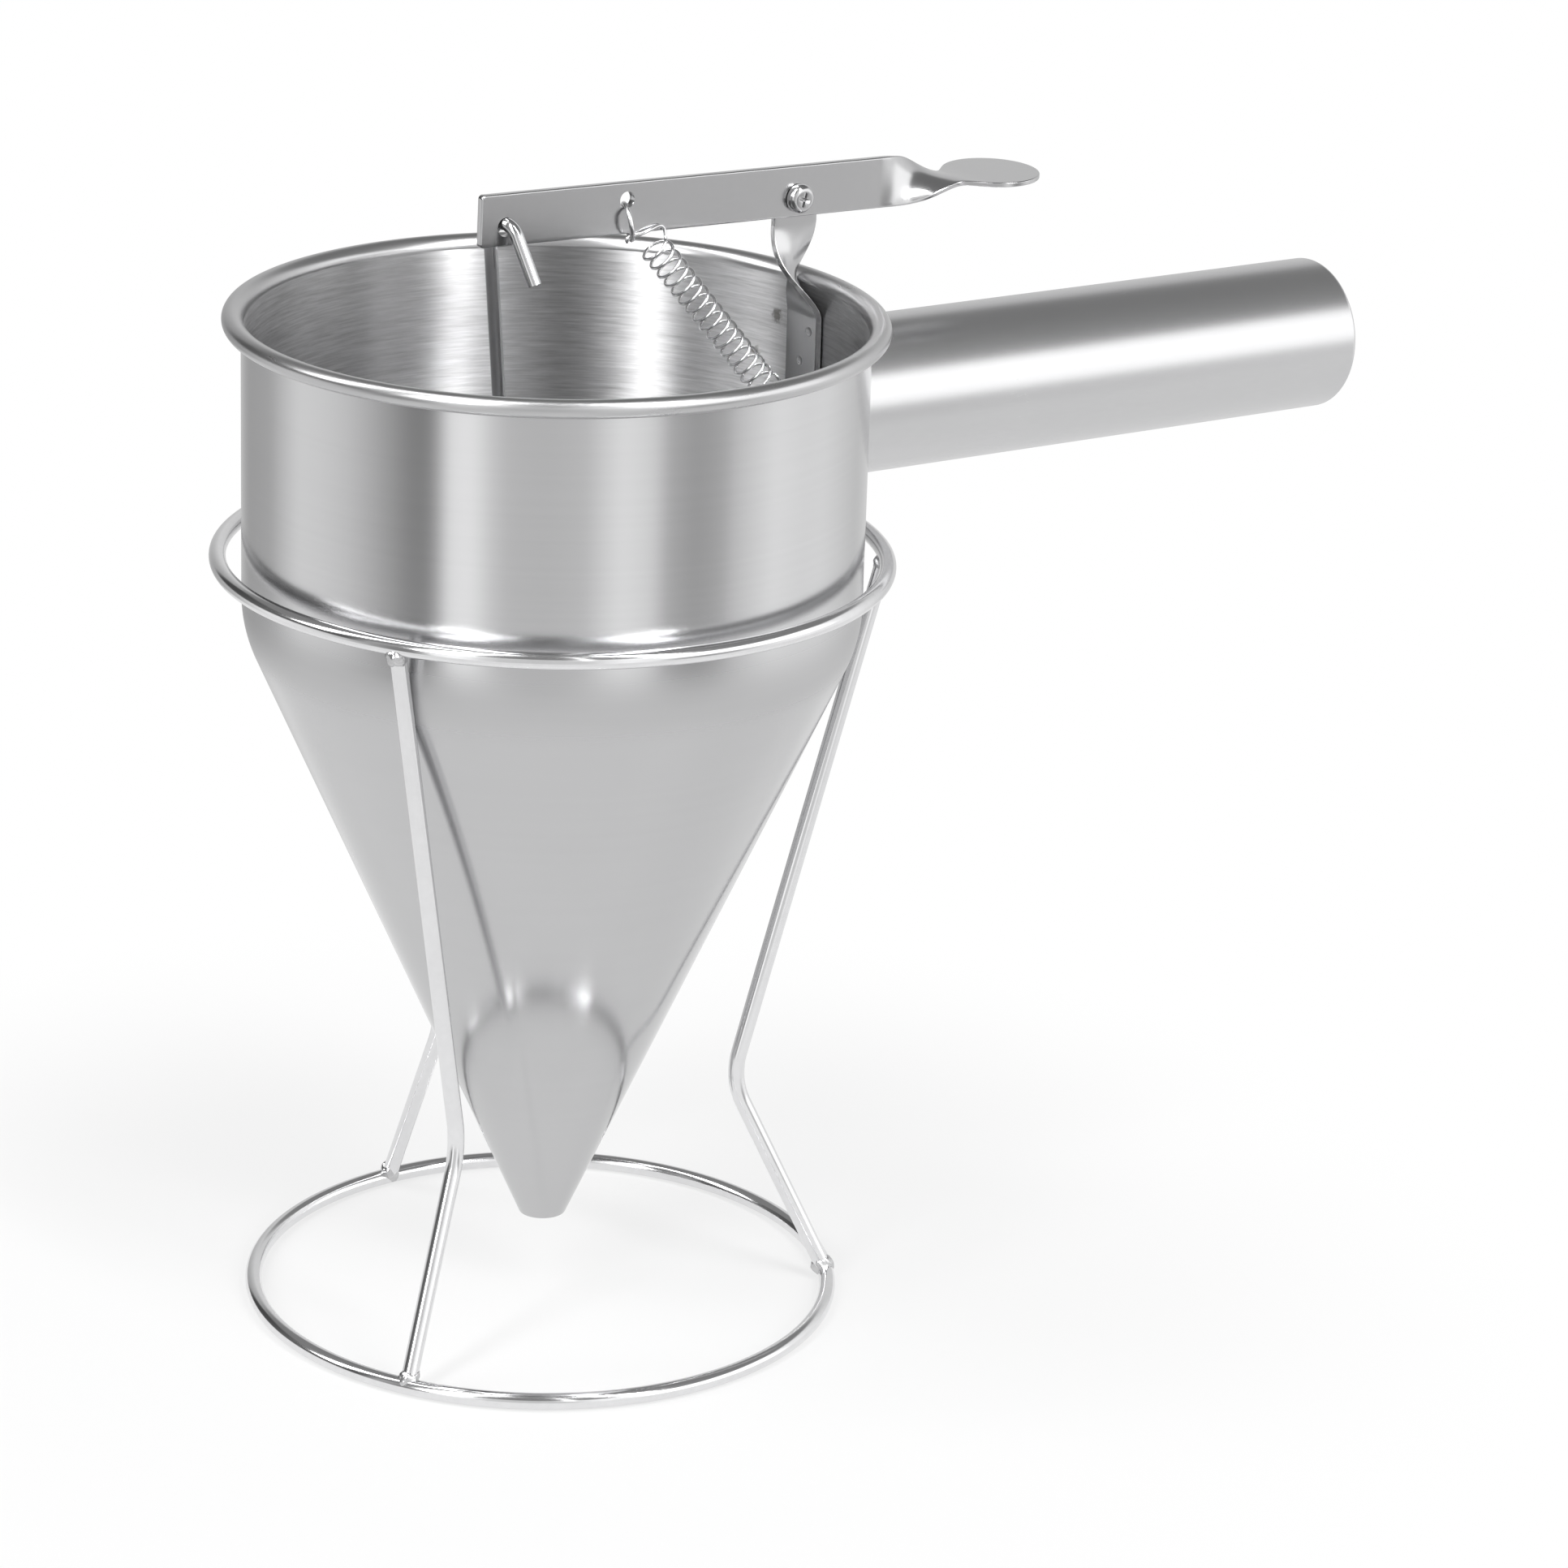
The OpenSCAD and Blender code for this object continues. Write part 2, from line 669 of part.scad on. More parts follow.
// Lever
module on_lever() {
    translate([pivot_x, 0, pivot_z]) rotate([0, lever_droop, 0]) children();
}

module strip_outline() {
    low = strip_rise - strip_w / 2;
    translate([strip_corner_r - inner_reach, low])
        square([inner_reach - strip_corner_r + twist_x, strip_w]);
    translate([-inner_reach, low + strip_corner_r])
        square([inner_reach, strip_w - 2 * strip_corner_r]);
    for (z = [low + strip_corner_r, low + strip_w - strip_corner_r])
        translate([strip_corner_r - inner_reach, z]) circle(strip_corner_r);
}

module lever_twist() {
    section_sweep([
        for (i = [0 : twist_steps])
            let (u = i / twist_steps, s = ease(u), a = 90 * s)
            corners(
                [twist_x + twist_l * u, 0, strip_rise - twist_drop * s],
                mix(strip_w, neck_w, s) / 2 * [0, sin(a), cos(a)],
                mix(strip_t, paddle_t, s) / 2 * [0, cos(a), -sin(a)]
            )
    ]);
}

module paddle() {
    steps = 4 * arc_steps;
    rim = [for (i = [0 : steps]) let (a = mix(-paddle_t0, paddle_t0, i / steps))
        [paddle_l - paddle_a * (1 - cos(a)), paddle_w / 2 * sin(a)]];
    translate([twist_x + twist_l, 0, strip_rise - twist_drop]) rotate([0, -paddle_tilt, 0])
        translate([0, 0, -paddle_t / 2]) linear_extrude(paddle_t)
            polygon(concat([[-paddle_t / 2, neck_w / 2], [-paddle_t / 2, -neck_w / 2]], rim));
}

module thumb_lever() {
    color("darkgray") on_lever() difference() {
        union() {
            translate([0, lever_face, 0]) rotate([90, 0, 0]) linear_extrude(strip_t) strip_outline();
            lever_twist();
            paddle();
        }
        for (hole = [
            [0, 0, screw_r + pivot_clear],
            [-rod_hole_x, 0, rod_hole_d / 2],
            [-ring_hole_x, strip_rise + ring_hole_rise, ring_hole_d / 2]
        ])
            translate([hole.x, lever_face + cut_over, hole.y]) rotate([90, 0, 0])
                cylinder(r = hole.z, h = strip_t + 2 * cut_over);
    }
}

module link_ring() {
    color("gainsboro") translate([link_c.x, 0, link_c.y]) rotate([0, 90 - link_lean, 0])
        rotate([link_turn, 0, 0]) ring(link_r, link_wire_r);
}

// Stopper
module on_rod() {
    translate(rod_low) rotate([0, rod_tilt, rod_azimuth]) children();
}

module rod_hook() {
    hook_end = rod_hook_r * [1 - cos(rod_hook_turn), 0, sin(rod_hook_turn)];
    translate([rod_hook_r, 0, 0]) rotate([90, 0, 0]) rotate([0, 0, 180 - rod_hook_turn])
        rotate_extrude(angle = rod_hook_turn) translate([rod_hook_r, 0]) circle(rod_r);
    bar(hook_end, hook_end + rod_hook_l * [sin(rod_hook_turn), 0, cos(rod_hook_turn)], rod_r);
    joint([0, 0, 0], rod_r);
    joint(hook_end, rod_r);
}

module stopper_rod() {
    color("gainsboro") on_rod() {
        cylinder(r = rod_r, h = rod_l);
        translate([0, 0, rod_l]) rotate([0, 0, -rod_hook_azimuth - rod_azimuth]) rod_hook();
    }
}

module stopper_plug() {
    low_angle = asin(plug_low / plug_r);
    round_part = [for (i = [0 : arc_steps]) let (a = -low_angle * (1 - i / arc_steps))
        plug_r * [cos(a), sin(a)]];
    color("silver") on_rod() rotate_extrude() polygon(concat(
        [[0, -plug_low]],
        round_part,
        [[plug_r, plug_h - plug_bevel], [plug_r - plug_bevel, plug_h], [rod_r, plug_h]],
        [[rod_r, 0], [0, 0]]
    ));
}

top_ring();
base_ring();
leg_front();
leg_right();
leg_back();
ring_welds();
foot_welds();
funnel_shell();
handle_tube();
handle_end_cap();
handle_weld();
pivot_bracket();
spot_welds();
pivot_screw();
pivot_washer();
pivot_nut();
return_spring();
thumb_lever();
link_ring();
stopper_rod();
stopper_plug();
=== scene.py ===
# %% [markdown]
# # A batter dispenser in bare stainless steel
# A funnel stands in a wire stand. A thumb lever above its rim lifts a rod, and the rod's plug opens the
# nozzle. Everything is the same steel, so the looks come from how each piece was worked: spun, brushed,
# drawn, pressed or welded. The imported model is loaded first. It fixes every size and place, and the
# pieces below are fitted to it.

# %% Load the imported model
from math import acos, asin, atan, atan2, cos, degrees, hypot, pi, radians, sin, sqrt, tan

import bmesh
import bpy
from mathutils import Matrix, Vector, noise


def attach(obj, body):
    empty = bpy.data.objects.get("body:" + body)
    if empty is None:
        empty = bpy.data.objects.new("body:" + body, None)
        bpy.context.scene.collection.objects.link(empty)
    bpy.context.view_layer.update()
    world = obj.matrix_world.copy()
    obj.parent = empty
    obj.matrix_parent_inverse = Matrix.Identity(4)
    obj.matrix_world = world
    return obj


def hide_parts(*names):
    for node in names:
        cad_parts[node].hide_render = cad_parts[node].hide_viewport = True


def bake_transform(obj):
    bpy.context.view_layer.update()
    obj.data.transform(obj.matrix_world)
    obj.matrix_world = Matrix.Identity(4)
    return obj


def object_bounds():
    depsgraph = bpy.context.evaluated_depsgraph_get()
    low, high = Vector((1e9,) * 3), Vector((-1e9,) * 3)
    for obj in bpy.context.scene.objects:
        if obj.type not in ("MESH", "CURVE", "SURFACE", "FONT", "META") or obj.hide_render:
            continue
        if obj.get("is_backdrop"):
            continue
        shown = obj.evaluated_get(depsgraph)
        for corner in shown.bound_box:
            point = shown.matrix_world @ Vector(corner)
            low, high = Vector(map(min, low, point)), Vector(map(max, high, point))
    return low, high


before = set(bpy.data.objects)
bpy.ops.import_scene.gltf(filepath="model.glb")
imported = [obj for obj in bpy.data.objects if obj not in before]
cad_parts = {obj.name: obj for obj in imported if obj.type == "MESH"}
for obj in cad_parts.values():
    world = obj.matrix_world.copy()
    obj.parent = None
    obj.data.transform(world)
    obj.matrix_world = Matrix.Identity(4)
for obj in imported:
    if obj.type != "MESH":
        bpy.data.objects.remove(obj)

cad_low, cad_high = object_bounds()
MM = 0.001
scene = bpy.context.scene
print("packed model, mm:", [round(v / MM, 1) for v in cad_high - cad_low])

# %% [markdown]
# ## The camera
# The photographer stood well back with a long lens, so the rims are flat ellipses and the walls hardly
# converge. The camera's heading, tilt and roll are given as angles, and its three axes are worked out
# from them.

# %% Camera
eye = Vector((-0.6695, -1.0309, 0.5729))
heading, tilt, roll = (radians(a) for a in (54.376, 19.704, 1.891))
ahead = Vector((cos(heading) * cos(tilt), sin(heading) * cos(tilt), -sin(tilt)))
level = ahead.cross(Vector((0, 0, 1))).normalized()
upward = level.cross(ahead)
across = level * cos(roll) + upward * sin(roll)
above = upward * cos(roll) - level * sin(roll)
lens = bpy.data.cameras.new("long_lens")
lens.sensor_width = 36
lens.lens = 124.82
camera = bpy.data.objects.new("camera", lens)
scene.collection.objects.link(camera)
camera.matrix_world = Matrix.Translation(eye) @ Matrix((across, above, -ahead)).transposed().to_4x4()
scene.camera = camera
print("distance to the object, m:", round(eye.length, 3))

# %% [markdown]
# ## The studio
# Bare steel shows nothing but its surroundings, so the studio is half of the look. A round white table
# stands in a ring of pale screens. The screens are brighter in some directions and darker in others,
# which draws the upright bands on the funnel's wall. They end a little above eye level, and the room
# over them is dim, which gives the handle its dark top. A wide light box stands at the right, a dark
# curtain at the left, and four narrow boxes reach high up. The world's shader makes all of this from
# the direction alone. The camera itself sees plain white.

# %% World: screens by direction, given as degrees right of the camera and brightness
screens = [
    (-180, 0.76), (-148, 0.45), (-124, 0.55), (-104, 1.0), (-90, 0.95), (-78, 0.84), (-66, 0.62),
    (-57, 0.42), (-50, 0.26), (-43, 0.22), (-39, 0.6), (-36, 1.25), (-27, 1.3), (-20, 0.9), (-14, 0.72),
    (0, 0.7), (14, 0.75), (19, 0.95), (27, 1.2), (39, 1.0), (44, 0.55), (55, 0.4), (64, 0.5), (67, 0.56),
    (72, 0.8), (78, 0.92), (90, 1.15), (105, 1.05), (118, 1.05), (148, 0.72), (180, 0.76),
]
headroom = 2  # a ramp's colours end at 1, so they are divided by this and multiplied again afterwards
world = bpy.data.worlds.new("studio")
scene.world = world
world.use_nodes = True
sky = world.node_tree
sky.nodes.clear()


def feed(tree, node, inputs):
    """Sets some of a node's inputs. Each takes a plain value, another node or one of its outputs."""
    for name, value in inputs.items():
        if isinstance(value, bpy.types.Node):
            value = value.outputs[0]
        if isinstance(value, bpy.types.NodeSocket):
            tree.links.new(value, node.inputs[name])
        else:
            node.inputs[name].default_value = value
    return node


def add(tree, kind, inputs):
    """Makes a node and sets its inputs."""
    return feed(tree, tree.nodes.new(kind), inputs)


def maths(tree, operation, a, b=None, c=None, clamp=False):
    """A Math node."""
    made = add(tree, "ShaderNodeMath", {i: value for i, value in enumerate((a, b, c)) if value is not None})
    made.operation, made.use_clamp = operation, clamp
    return made


def ease_between(tree, value, low, high):
    """0 at low and 1 at high, with a soft start and end; low may be the larger number."""
    made = add(tree, "ShaderNodeMapRange", {"Value": value, "From Min": low, "From Max": high})
    made.interpolation_type = "SMOOTHSTEP"
    return made


direction = add(sky, "ShaderNodeTexCoord", {}).outputs["Generated"]
turned = add(sky, "ShaderNodeVectorRotate", {"Vector": direction, "Angle": -(heading + pi)})
turned.rotation_type = "Z_AXIS"
parts = add(sky, "ShaderNodeSeparateXYZ", {0: turned})
azimuth = maths(sky, "ARCTAN2", parts.outputs[1], parts.outputs[0])
rise = maths(sky, "ARCSINE", parts.outputs[2])
ramp = add(sky, "ShaderNodeValToRGB", {0: maths(sky, "MULTIPLY_ADD", azimuth, 0.5 / pi, 0.5)})
stops = ramp.color_ramp.elements
stops.remove(stops[-1])
for i, (angle, brightness) in enumerate(screens):
    stop = stops[0] if i == 0 else stops.new((angle + 180) / 360)
    stop.position = (angle + 180) / 360
    stop.color = (brightness / headroom, brightness / headroom, brightness / headroom, 1)
print("screens:", len(screens))


# %% World: room above the screens, light boxes, and white for the camera
def light_box(*edges):
    """1 within a box and 0 outside it. edges, in degrees: its four sides and its soft edges' widths."""
    left, right, low, high, side_soft, end_soft = map(radians, edges)
    sides = maths(sky, "MULTIPLY", ease_between(sky, azimuth, left, left + side_soft),
                  ease_between(sky, azimuth, right, right - side_soft))
    ends = maths(sky, "MULTIPLY", ease_between(sky, rise, low, low + end_soft),
                 ease_between(sky, rise, high, high - end_soft))
    return maths(sky, "MULTIPLY", sides, ends)


def blended(here, there, share):
    """here where the share is 0, and there where it is 1."""
    kept = maths(sky, "MULTIPLY", here, maths(sky, "SUBTRACT", 1, share))
    return maths(sky, "ADD", kept, maths(sky, "MULTIPLY", share, there))


room, screens_end, room_begins = 0.24, 26, 34
floor_low, floor_high, floor_white = -29, -19, 0.92
wide_box, wide_glow = light_box(34, 112, -7, 36, 12, 8), 1.7
curtain, curtain_takes = light_box(-146, -58, -4, 44, 10, 8), 0.86
tall_glow, tall_top = 13, 80
tall_boxes = [(1, -44, -27, 14), (1.7, 39, 52, 18), (0.6, -96, -78, 18), (0.3, 12, 17, 18)]
tall_box = 0
for box_share, left, right, low in tall_boxes:
    tall_box = maths(sky, "MULTIPLY_ADD", light_box(left, right, low, tall_top, 3, 8), box_share, tall_box)
over = ease_between(sky, rise, radians(screens_end), radians(room_begins))
under = ease_between(sky, rise, radians(floor_high), radians(floor_low))
band = maths(sky, "MULTIPLY", ramp, headroom)
band = maths(sky, "MULTIPLY", band, maths(sky, "MULTIPLY_ADD", curtain, -curtain_takes, 1))
glow = blended(blended(band, floor_white, under), room, over)
glow = maths(sky, "MULTIPLY_ADD", tall_box, tall_glow, blended(glow, wide_glow, wide_box))
strength = blended(glow, 1, add(sky, "ShaderNodeLightPath", {}).outputs["Is Camera Ray"])
background = add(sky, "ShaderNodeBackground", {"Color": (1, 1, 1, 1), "Strength": strength})
add(sky, "ShaderNodeOutputWorld", {0: background})
scene.view_settings.view_transform = "Standard"
print("light boxes:", len(tall_boxes) + 1)


# %% [markdown]
# ## The table
# The table is a round white sheet. Near the object it is lit paint and takes a soft shadow. Towards its
# edge it turns into plain white for the camera, so that it runs into the background with no line.

# %% Table
def link(obj):
    """Puts an object into the scene."""
    scene.collection.objects.link(obj)
    return obj


def mesh_from(work, name):
    """Turns a finished bmesh into a mesh."""
    mesh = bpy.data.meshes.new(name)
    work.to_mesh(mesh)
    work.free()
    return mesh


def on_piece(tree):
    """The shaded place on its piece, in metres."""
    return add(tree, "ShaderNodeTexCoord", {}).outputs["Object"]


table_r, table_drop, table_tone = 0.34, 0.0002, 0.6
white_from, white_to, near_white = 0.11, 0.26, 0.7
clear_from, clear_to, mirrored_white = 0.16, 0.32, 0.75
disc = bmesh.new()
bmesh.ops.create_circle(disc, cap_ends=True, radius=table_r, segments=128)
table = link(bpy.data.objects.new("table", mesh_from(disc, "table")))
table.location.z = -table_drop
table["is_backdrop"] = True
paint = bpy.data.materials.new("table_white")
paint.use_nodes = True
table.data.materials.append(paint)
tree = paint.node_tree
tree.nodes.clear()
length = add(tree, "ShaderNodeVectorMath", {0: on_piece(tree)})
length.operation = "LENGTH"
path = add(tree, "ShaderNodeLightPath", {})
glossy = path.outputs["Is Glossy Ray"]
far = ease_between(tree, length.outputs["Value"], white_from, white_to)
share = maths(tree, "MULTIPLY_ADD", far, 1 - near_white, near_white)
mirrored = maths(tree, "MULTIPLY", glossy, mirrored_white)
mixed = add(tree, "ShaderNodeMixShader", {
    0: maths(tree, "MULTIPLY_ADD", share, path.outputs["Is Camera Ray"], mirrored),
    1: add(tree, "ShaderNodeBsdfDiffuse", {"Color": (table_tone, table_tone, table_tone, 1)}),
    2: add(tree, "ShaderNodeEmission", {})})
edge_far = ease_between(tree, length.outputs["Value"], clear_from, clear_to)
edged = add(tree, "ShaderNodeMixShader", {
    0: maths(tree, "MULTIPLY", edge_far, glossy), 1: mixed, 2: add(tree, "ShaderNodeBsdfTransparent", {})})
add(tree, "ShaderNodeOutputMaterial", {0: edged})
print("table across, m:", 2 * table_r)

# %% [markdown]
# ## Steel
# One recipe serves every finish. The metal's colour is nearly flat. Fine lines come from noise that is
# stretched along the direction in which the piece was worked, and they move the colour, the roughness
# and the height a little. Spun and brushed faces also smear their reflections across the lines, which
# is the shader's anisotropy.


# %% Steel recipe
cool_white = (1.0, 1.0, 1.01)


def steel(name, tone, rough, grain, lines=0.0, bump=0.0, smear=0.0, mottle=0.0, depth=0.02):
    """grain: how fine the lines are along X, Y and Z, per metre. lines, mottle: how much the fine and the
    broad noise change the finish. bump and depth (mm): the lines' height. smear: the anisotropy."""
    made = bpy.data.materials.new(name)
    made.use_nodes = True
    tree = made.node_tree
    shader = tree.nodes["Principled BSDF"]
    place = on_piece(tree)
    fine = add(tree, "ShaderNodeTexNoise", {
        "Scale": 1, "Detail": 3, "Roughness": 0.65,
        "Vector": add(tree, "ShaderNodeMapping", {"Scale": grain, "Vector": place})})
    broad = add(tree, "ShaderNodeTexNoise", {"Scale": 45, "Detail": 3, "Vector": place})
    swing = maths(tree, "ADD", maths(tree, "MULTIPLY_ADD", fine, lines, -lines / 2),
                  maths(tree, "MULTIPLY_ADD", broad, mottle, -mottle / 2))
    feed(tree, shader, {
        "Metallic": 1, "Anisotropic": smear,
        "Roughness": maths(tree, "MULTIPLY_ADD", swing, rough * 0.8, rough, clamp=True),
        "Base Color": add(tree, "ShaderNodeCombineColor", {
            i: maths(tree, "MULTIPLY_ADD", swing, tone * share, tone * share, clamp=True)
            for i, share in enumerate(cool_white)})})
    if bump:
        height = add(tree, "ShaderNodeBump", {"Strength": bump, "Distance": depth * MM, "Height": fine})
        feed(tree, shader, {"Normal": height})
    if smear:
        along = add(tree, "ShaderNodeTangent", {})
        along.direction_type, along.axis = "RADIAL", "Z"
        feed(tree, shader, {"Tangent": along, "Anisotropic Rotation": 0.25})
    return made


spun = steel("spun_steel", 0.6, 0.19, (4, 4, 900), lines=0.05, bump=0.12, smear=0.5, mottle=0.03)
smooth = steel("smooth_cone_steel", 0.53, 0.13, (6, 6, 500), lines=0.03, bump=0.03, mottle=0.03)
brushed = steel(
    "brushed_steel", 0.6, 0.45, (90, 90, 1600), lines=1.0, bump=1.0, smear=1.0, mottle=0.06, depth=0.03)
rolled = steel("rolled_rim_steel", 0.52, 0.28, (60, 60, 400), lines=0.12, bump=0.3, mottle=0.08)
tube_steel = steel("tube_steel", 0.6, 0.27, (300, 1600, 1600), lines=0.06, bump=0.15, mottle=0.03)
drawn = steel("drawn_wire_steel", 0.76, 0.13, (500, 500, 500), lines=0.1, bump=0.1, mottle=0.1)
rod_steel = steel("drawn_rod_steel", 0.6, 0.15, (500, 500, 500), lines=0.1, bump=0.1, mottle=0.1)
pressed = steel("pressed_strip_steel", 0.52, 0.2, (500, 900, 900), lines=0.06, bump=0.12, mottle=0.05)
turned_steel = steel("turned_steel", 0.5, 0.18, (900, 900, 900), lines=0.2, bump=0.2, mottle=0.1)
bright = steel("bright_spring_steel", 0.76, 0.14, (700, 700, 700), lines=0.1, bump=0.1)
bead = steel("weld_steel", 0.55, 0.24, (500, 500, 500), lines=0.4, bump=0.8, mottle=0.3, depth=0.15)
finishes = (spun, smooth, brushed, rolled, tube_steel, drawn, rod_steel, pressed, turned_steel, bright, bead)
print("finishes:", ", ".join(finish.name for finish in finishes))


# %% [markdown]
# ## Marks of use on the funnel
# The spot welder left two small dark stains on the inner wall beside the bracket. Each is a distance
# from a point, made ragged with noise and turned into a mask. The shoulder is duller than the cone
# below it, since the polishing belt leaves the sheet there: a height turned into a roughness. It meets
# the wall's finish behind the stand's ring.

# %% Marks of use
def distance_from(tree, centre):
    """The distance in metres between the shaded place and a point that is given in millimetres."""
    away = add(tree, "ShaderNodeVectorMath", {0: on_piece(tree), 1: [c * MM for c in centre]})
    away.operation = "DISTANCE"
    return away.outputs["Value"]


def recolour(made, mask, colour):
    """Blends a finish's colour towards another one where the mask is 1."""
    tree = made.node_tree
    shader = tree.nodes["Principled BSDF"]
    clean = shader.inputs["Base Color"].links[0].from_socket
    blend = tree.nodes.new("ShaderNodeMix")
    blend.data_type = "RGBA"
    share, first, second = (i for i, socket in enumerate(blend.inputs) if socket.enabled)
    feed(tree, blend, {share: mask, first: clean, second: colour})
    feed(tree, shader, {"Base Color": next(socket for socket in blend.outputs if socket.enabled)})


stains = [((71.6, 12.7, 235.2), 2.3), ((70.1, 19.4, 224.9), 1.9)]
stain_edge, stain_ragged, stain_depth, stain_colour = 1.5, 3.0, 0.75, (0.12, 0.11, 0.10, 1)
tree = brushed.node_tree
ragged = add(tree, "ShaderNodeTexNoise", {"Scale": 900, "Vector": on_piece(tree)})
stained = 0
for centre, size in stains:
    from_spot = maths(tree, "MULTIPLY_ADD", ragged, stain_ragged * MM, distance_from(tree, centre))
    spot = ease_between(tree, from_spot, (size + stain_edge) * MM, size * MM)
    stained = maths(tree, "MAXIMUM", spot, stained)
recolour(brushed, maths(tree, "MULTIPLY", stained, stain_depth), stain_colour)
print("stains:", len(stains))

# %% Dull shoulder
dull_from, dull_to, wall_from, wall_to = 160, 174, 176, 186
dull_more, wall_more, wall_colour = 0.24, 0.05, (0.6, 0.6, 0.606, 1)
tree = smooth.node_tree
shader = tree.nodes["Principled BSDF"]
polished = shader.inputs["Roughness"].links[0].from_socket
height = add(tree, "ShaderNodeSeparateXYZ", {0: on_piece(tree)}).outputs["Z"]
border = ease_between(tree, height, wall_from * MM, wall_to * MM)
dull = maths(tree, "MULTIPLY", ease_between(tree, height, dull_from * MM, dull_to * MM),
             maths(tree, "SUBTRACT", 1, border))
duller = maths(tree, "MULTIPLY_ADD", dull, dull_more, polished)
feed(tree, shader, {"Roughness": maths(tree, "MULTIPLY_ADD", border, wall_more, duller)})
recolour(smooth, border, wall_colour)
print("dull band, mm:", dull_from, "to", wall_to)

# %% [markdown]
# ## Shared tools
# A few small tools make nearly every piece. `spin` turns an outline about an axis, `sweep` draws wire
# along a path, and `plate` and `press` cut a flat bar and bend it. `finish_mesh` closes each mesh and
# joins it to the object.

# %% Tools: closing and shading a mesh
def piece(name, verts, faces, materials, body, replaced, sharp=35, face_material=None):
    """Makes a piece from points in metres. It moves with a body and stands for the replaced nodes."""
    mesh = bpy.data.meshes.new(name)
    mesh.from_pydata([tuple(v) for v in verts], [], faces)
    for material in materials:
        mesh.materials.append(material)
    if face_material:
        mesh.polygons.foreach_set("material_index", face_material)
    finish_mesh(mesh, name, body, replaced, sharp)


def result_of(obj, used):
    """The plain mesh that an object's modifiers give. The objects that were used for it are removed."""
    bpy.context.view_layer.update()
    found = bpy.context.evaluated_depsgraph_get()
    done = bpy.data.meshes.new_from_object(obj.evaluated_get(found), depsgraph=found)
    for each in used:
        bpy.data.objects.remove(each)
    return done


def weigh(mesh):
    """Lets each large face rule the shading of its corners, as on a flat bar with narrow rounded edges."""
    flat = link(bpy.data.objects.new("weighing", mesh))
    weights = flat.modifiers.new("weights", "WEIGHTED_NORMAL")
    weights.keep_sharp = True
    return result_of(flat, [flat])


def shade(mesh, sharp):
    """Smooth shading, but for edges that are sharper than an angle in degrees."""
    mesh.polygons.foreach_set("use_smooth", [True] * len(mesh.polygons))
    mesh.set_sharp_from_angle(angle=radians(sharp))


def join_up(mesh, near, thin=None):
    """Joins near points, drops thin faces and turns all faces outward. Returns how many edges are open."""
    work = bmesh.new()
    work.from_mesh(mesh)
    bmesh.ops.remove_doubles(work, verts=work.verts, dist=near)
    if thin:
        bmesh.ops.dissolve_degenerate(work, edges=work.edges, dist=thin)
    bmesh.ops.recalc_face_normals(work, faces=work.faces)
    open_edges = sum(1 for e in work.edges if len(e.link_faces) != 2)
    work.to_mesh(mesh)
    work.free()
    return open_edges


def finish_mesh(mesh, name, body, replaced, sharp=35, flat=False):
    """Closes and shades a mesh and makes it a piece. flat is for bars with broad level faces."""
    open_edges = join_up(mesh, near=1e-7, thin=1e-8)
    shade(mesh, sharp)
    if flat:
        mesh = weigh(mesh)
    obj = link(bpy.data.objects.new(name, mesh))
    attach(obj, body)
    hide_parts(*replaced)
    print(f"{name}: {len(mesh.polygons)} faces, {open_edges} open edges")


# %% Tools: lathe and arcs
def in_steps(end, count):
    """From 0 to an end in even steps, with both of them."""
    return [end * i / count for i in range(count + 1)]


def spin(outline, segments, place=Matrix.Identity(4)):
    """Turns an outline of (r, z) about Z. It is closed, or both its ends lie on the axis as poles."""
    verts = [
        place @ Vector((r * cos(a), r * sin(a), z))
        for r, z in outline
        for a in in_steps(2 * pi, segments)[:-1]
    ]
    n = len(outline)
    faces = [
        (i * segments + k, i * segments + (k + 1) % segments,
         (i + 1) % n * segments + (k + 1) % segments, (i + 1) % n * segments + k)
        for i in range(n) if outline[i][0] or outline[(i + 1) % n][0] for k in range(segments)
    ]
    return verts, faces


def arc(centre, r, start, end, steps):
    """Points on an arc; its angles are in degrees."""
    angles = [radians(start + (end - start) * i / steps) for i in range(steps + 1)]
    return [(centre[0] + r * cos(a), centre[1] + r * sin(a)) for a in angles]


# %% [markdown]
# ## The funnel
# A disc of sheet was pressed over a spinning form: straight wall, rounded shoulder, cone and nozzle are
# one skin 0.8 mm thick. The rim is rolled outward into a bead, and the lip curves over into it. The
# outline is written as lines and arcs and turned in many steps, because mirrors show every facet. Each
# stretch of it gets its finish: a smooth cone, a spun wall, a rolled rim and a brushed inside.

# %% Funnel sizes and outline, in millimetres
mouth_z, mouth_r, body_r, sheet = 19.7, 5.8, 73.5, 0.8
corner_z, rim_top, rim_r, roll_r, shoulder_r = 172.2, 248.2, 78.0, 2.2, 33.0
cone_lean = degrees(atan((body_r - mouth_r) / (corner_z - mouth_z)))
shoulder = (body_r - shoulder_r, corner_z + shoulder_r * tan(radians(cone_lean / 2)))
roll = (rim_r - roll_r, rim_top - roll_r)
lip_r = rim_r - roll_r - (body_r - sheet)
cone_inner = mouth_r - sheet / cos(radians(cone_lean))
cone_foot = arc((mouth_r - 0.25, mouth_z + 0.2), 0.25, -90, -cone_lean, 3)
cone_top = arc(shoulder, shoulder_r, -cone_lean, 0, 24)
down_the_cone = (0.004, 0.25, 0.5, 0.75, 0.985)  # rows close to both ends keep the mirror flat between them
cone = [tuple(a + (b - a) * u for a, b in zip(cone_foot[-1], cone_top[0])) for u in down_the_cone]
outside = cone_foot + cone + cone_top + [(body_r, z) for z in (186.0, 205.0, 225.0, roll[1] - 0.4)]
rim = arc(roll, roll_r, -170, 90, 32) + arc((rim_r - roll_r, rim_top - lip_r), lip_r, 95, 180, 12)
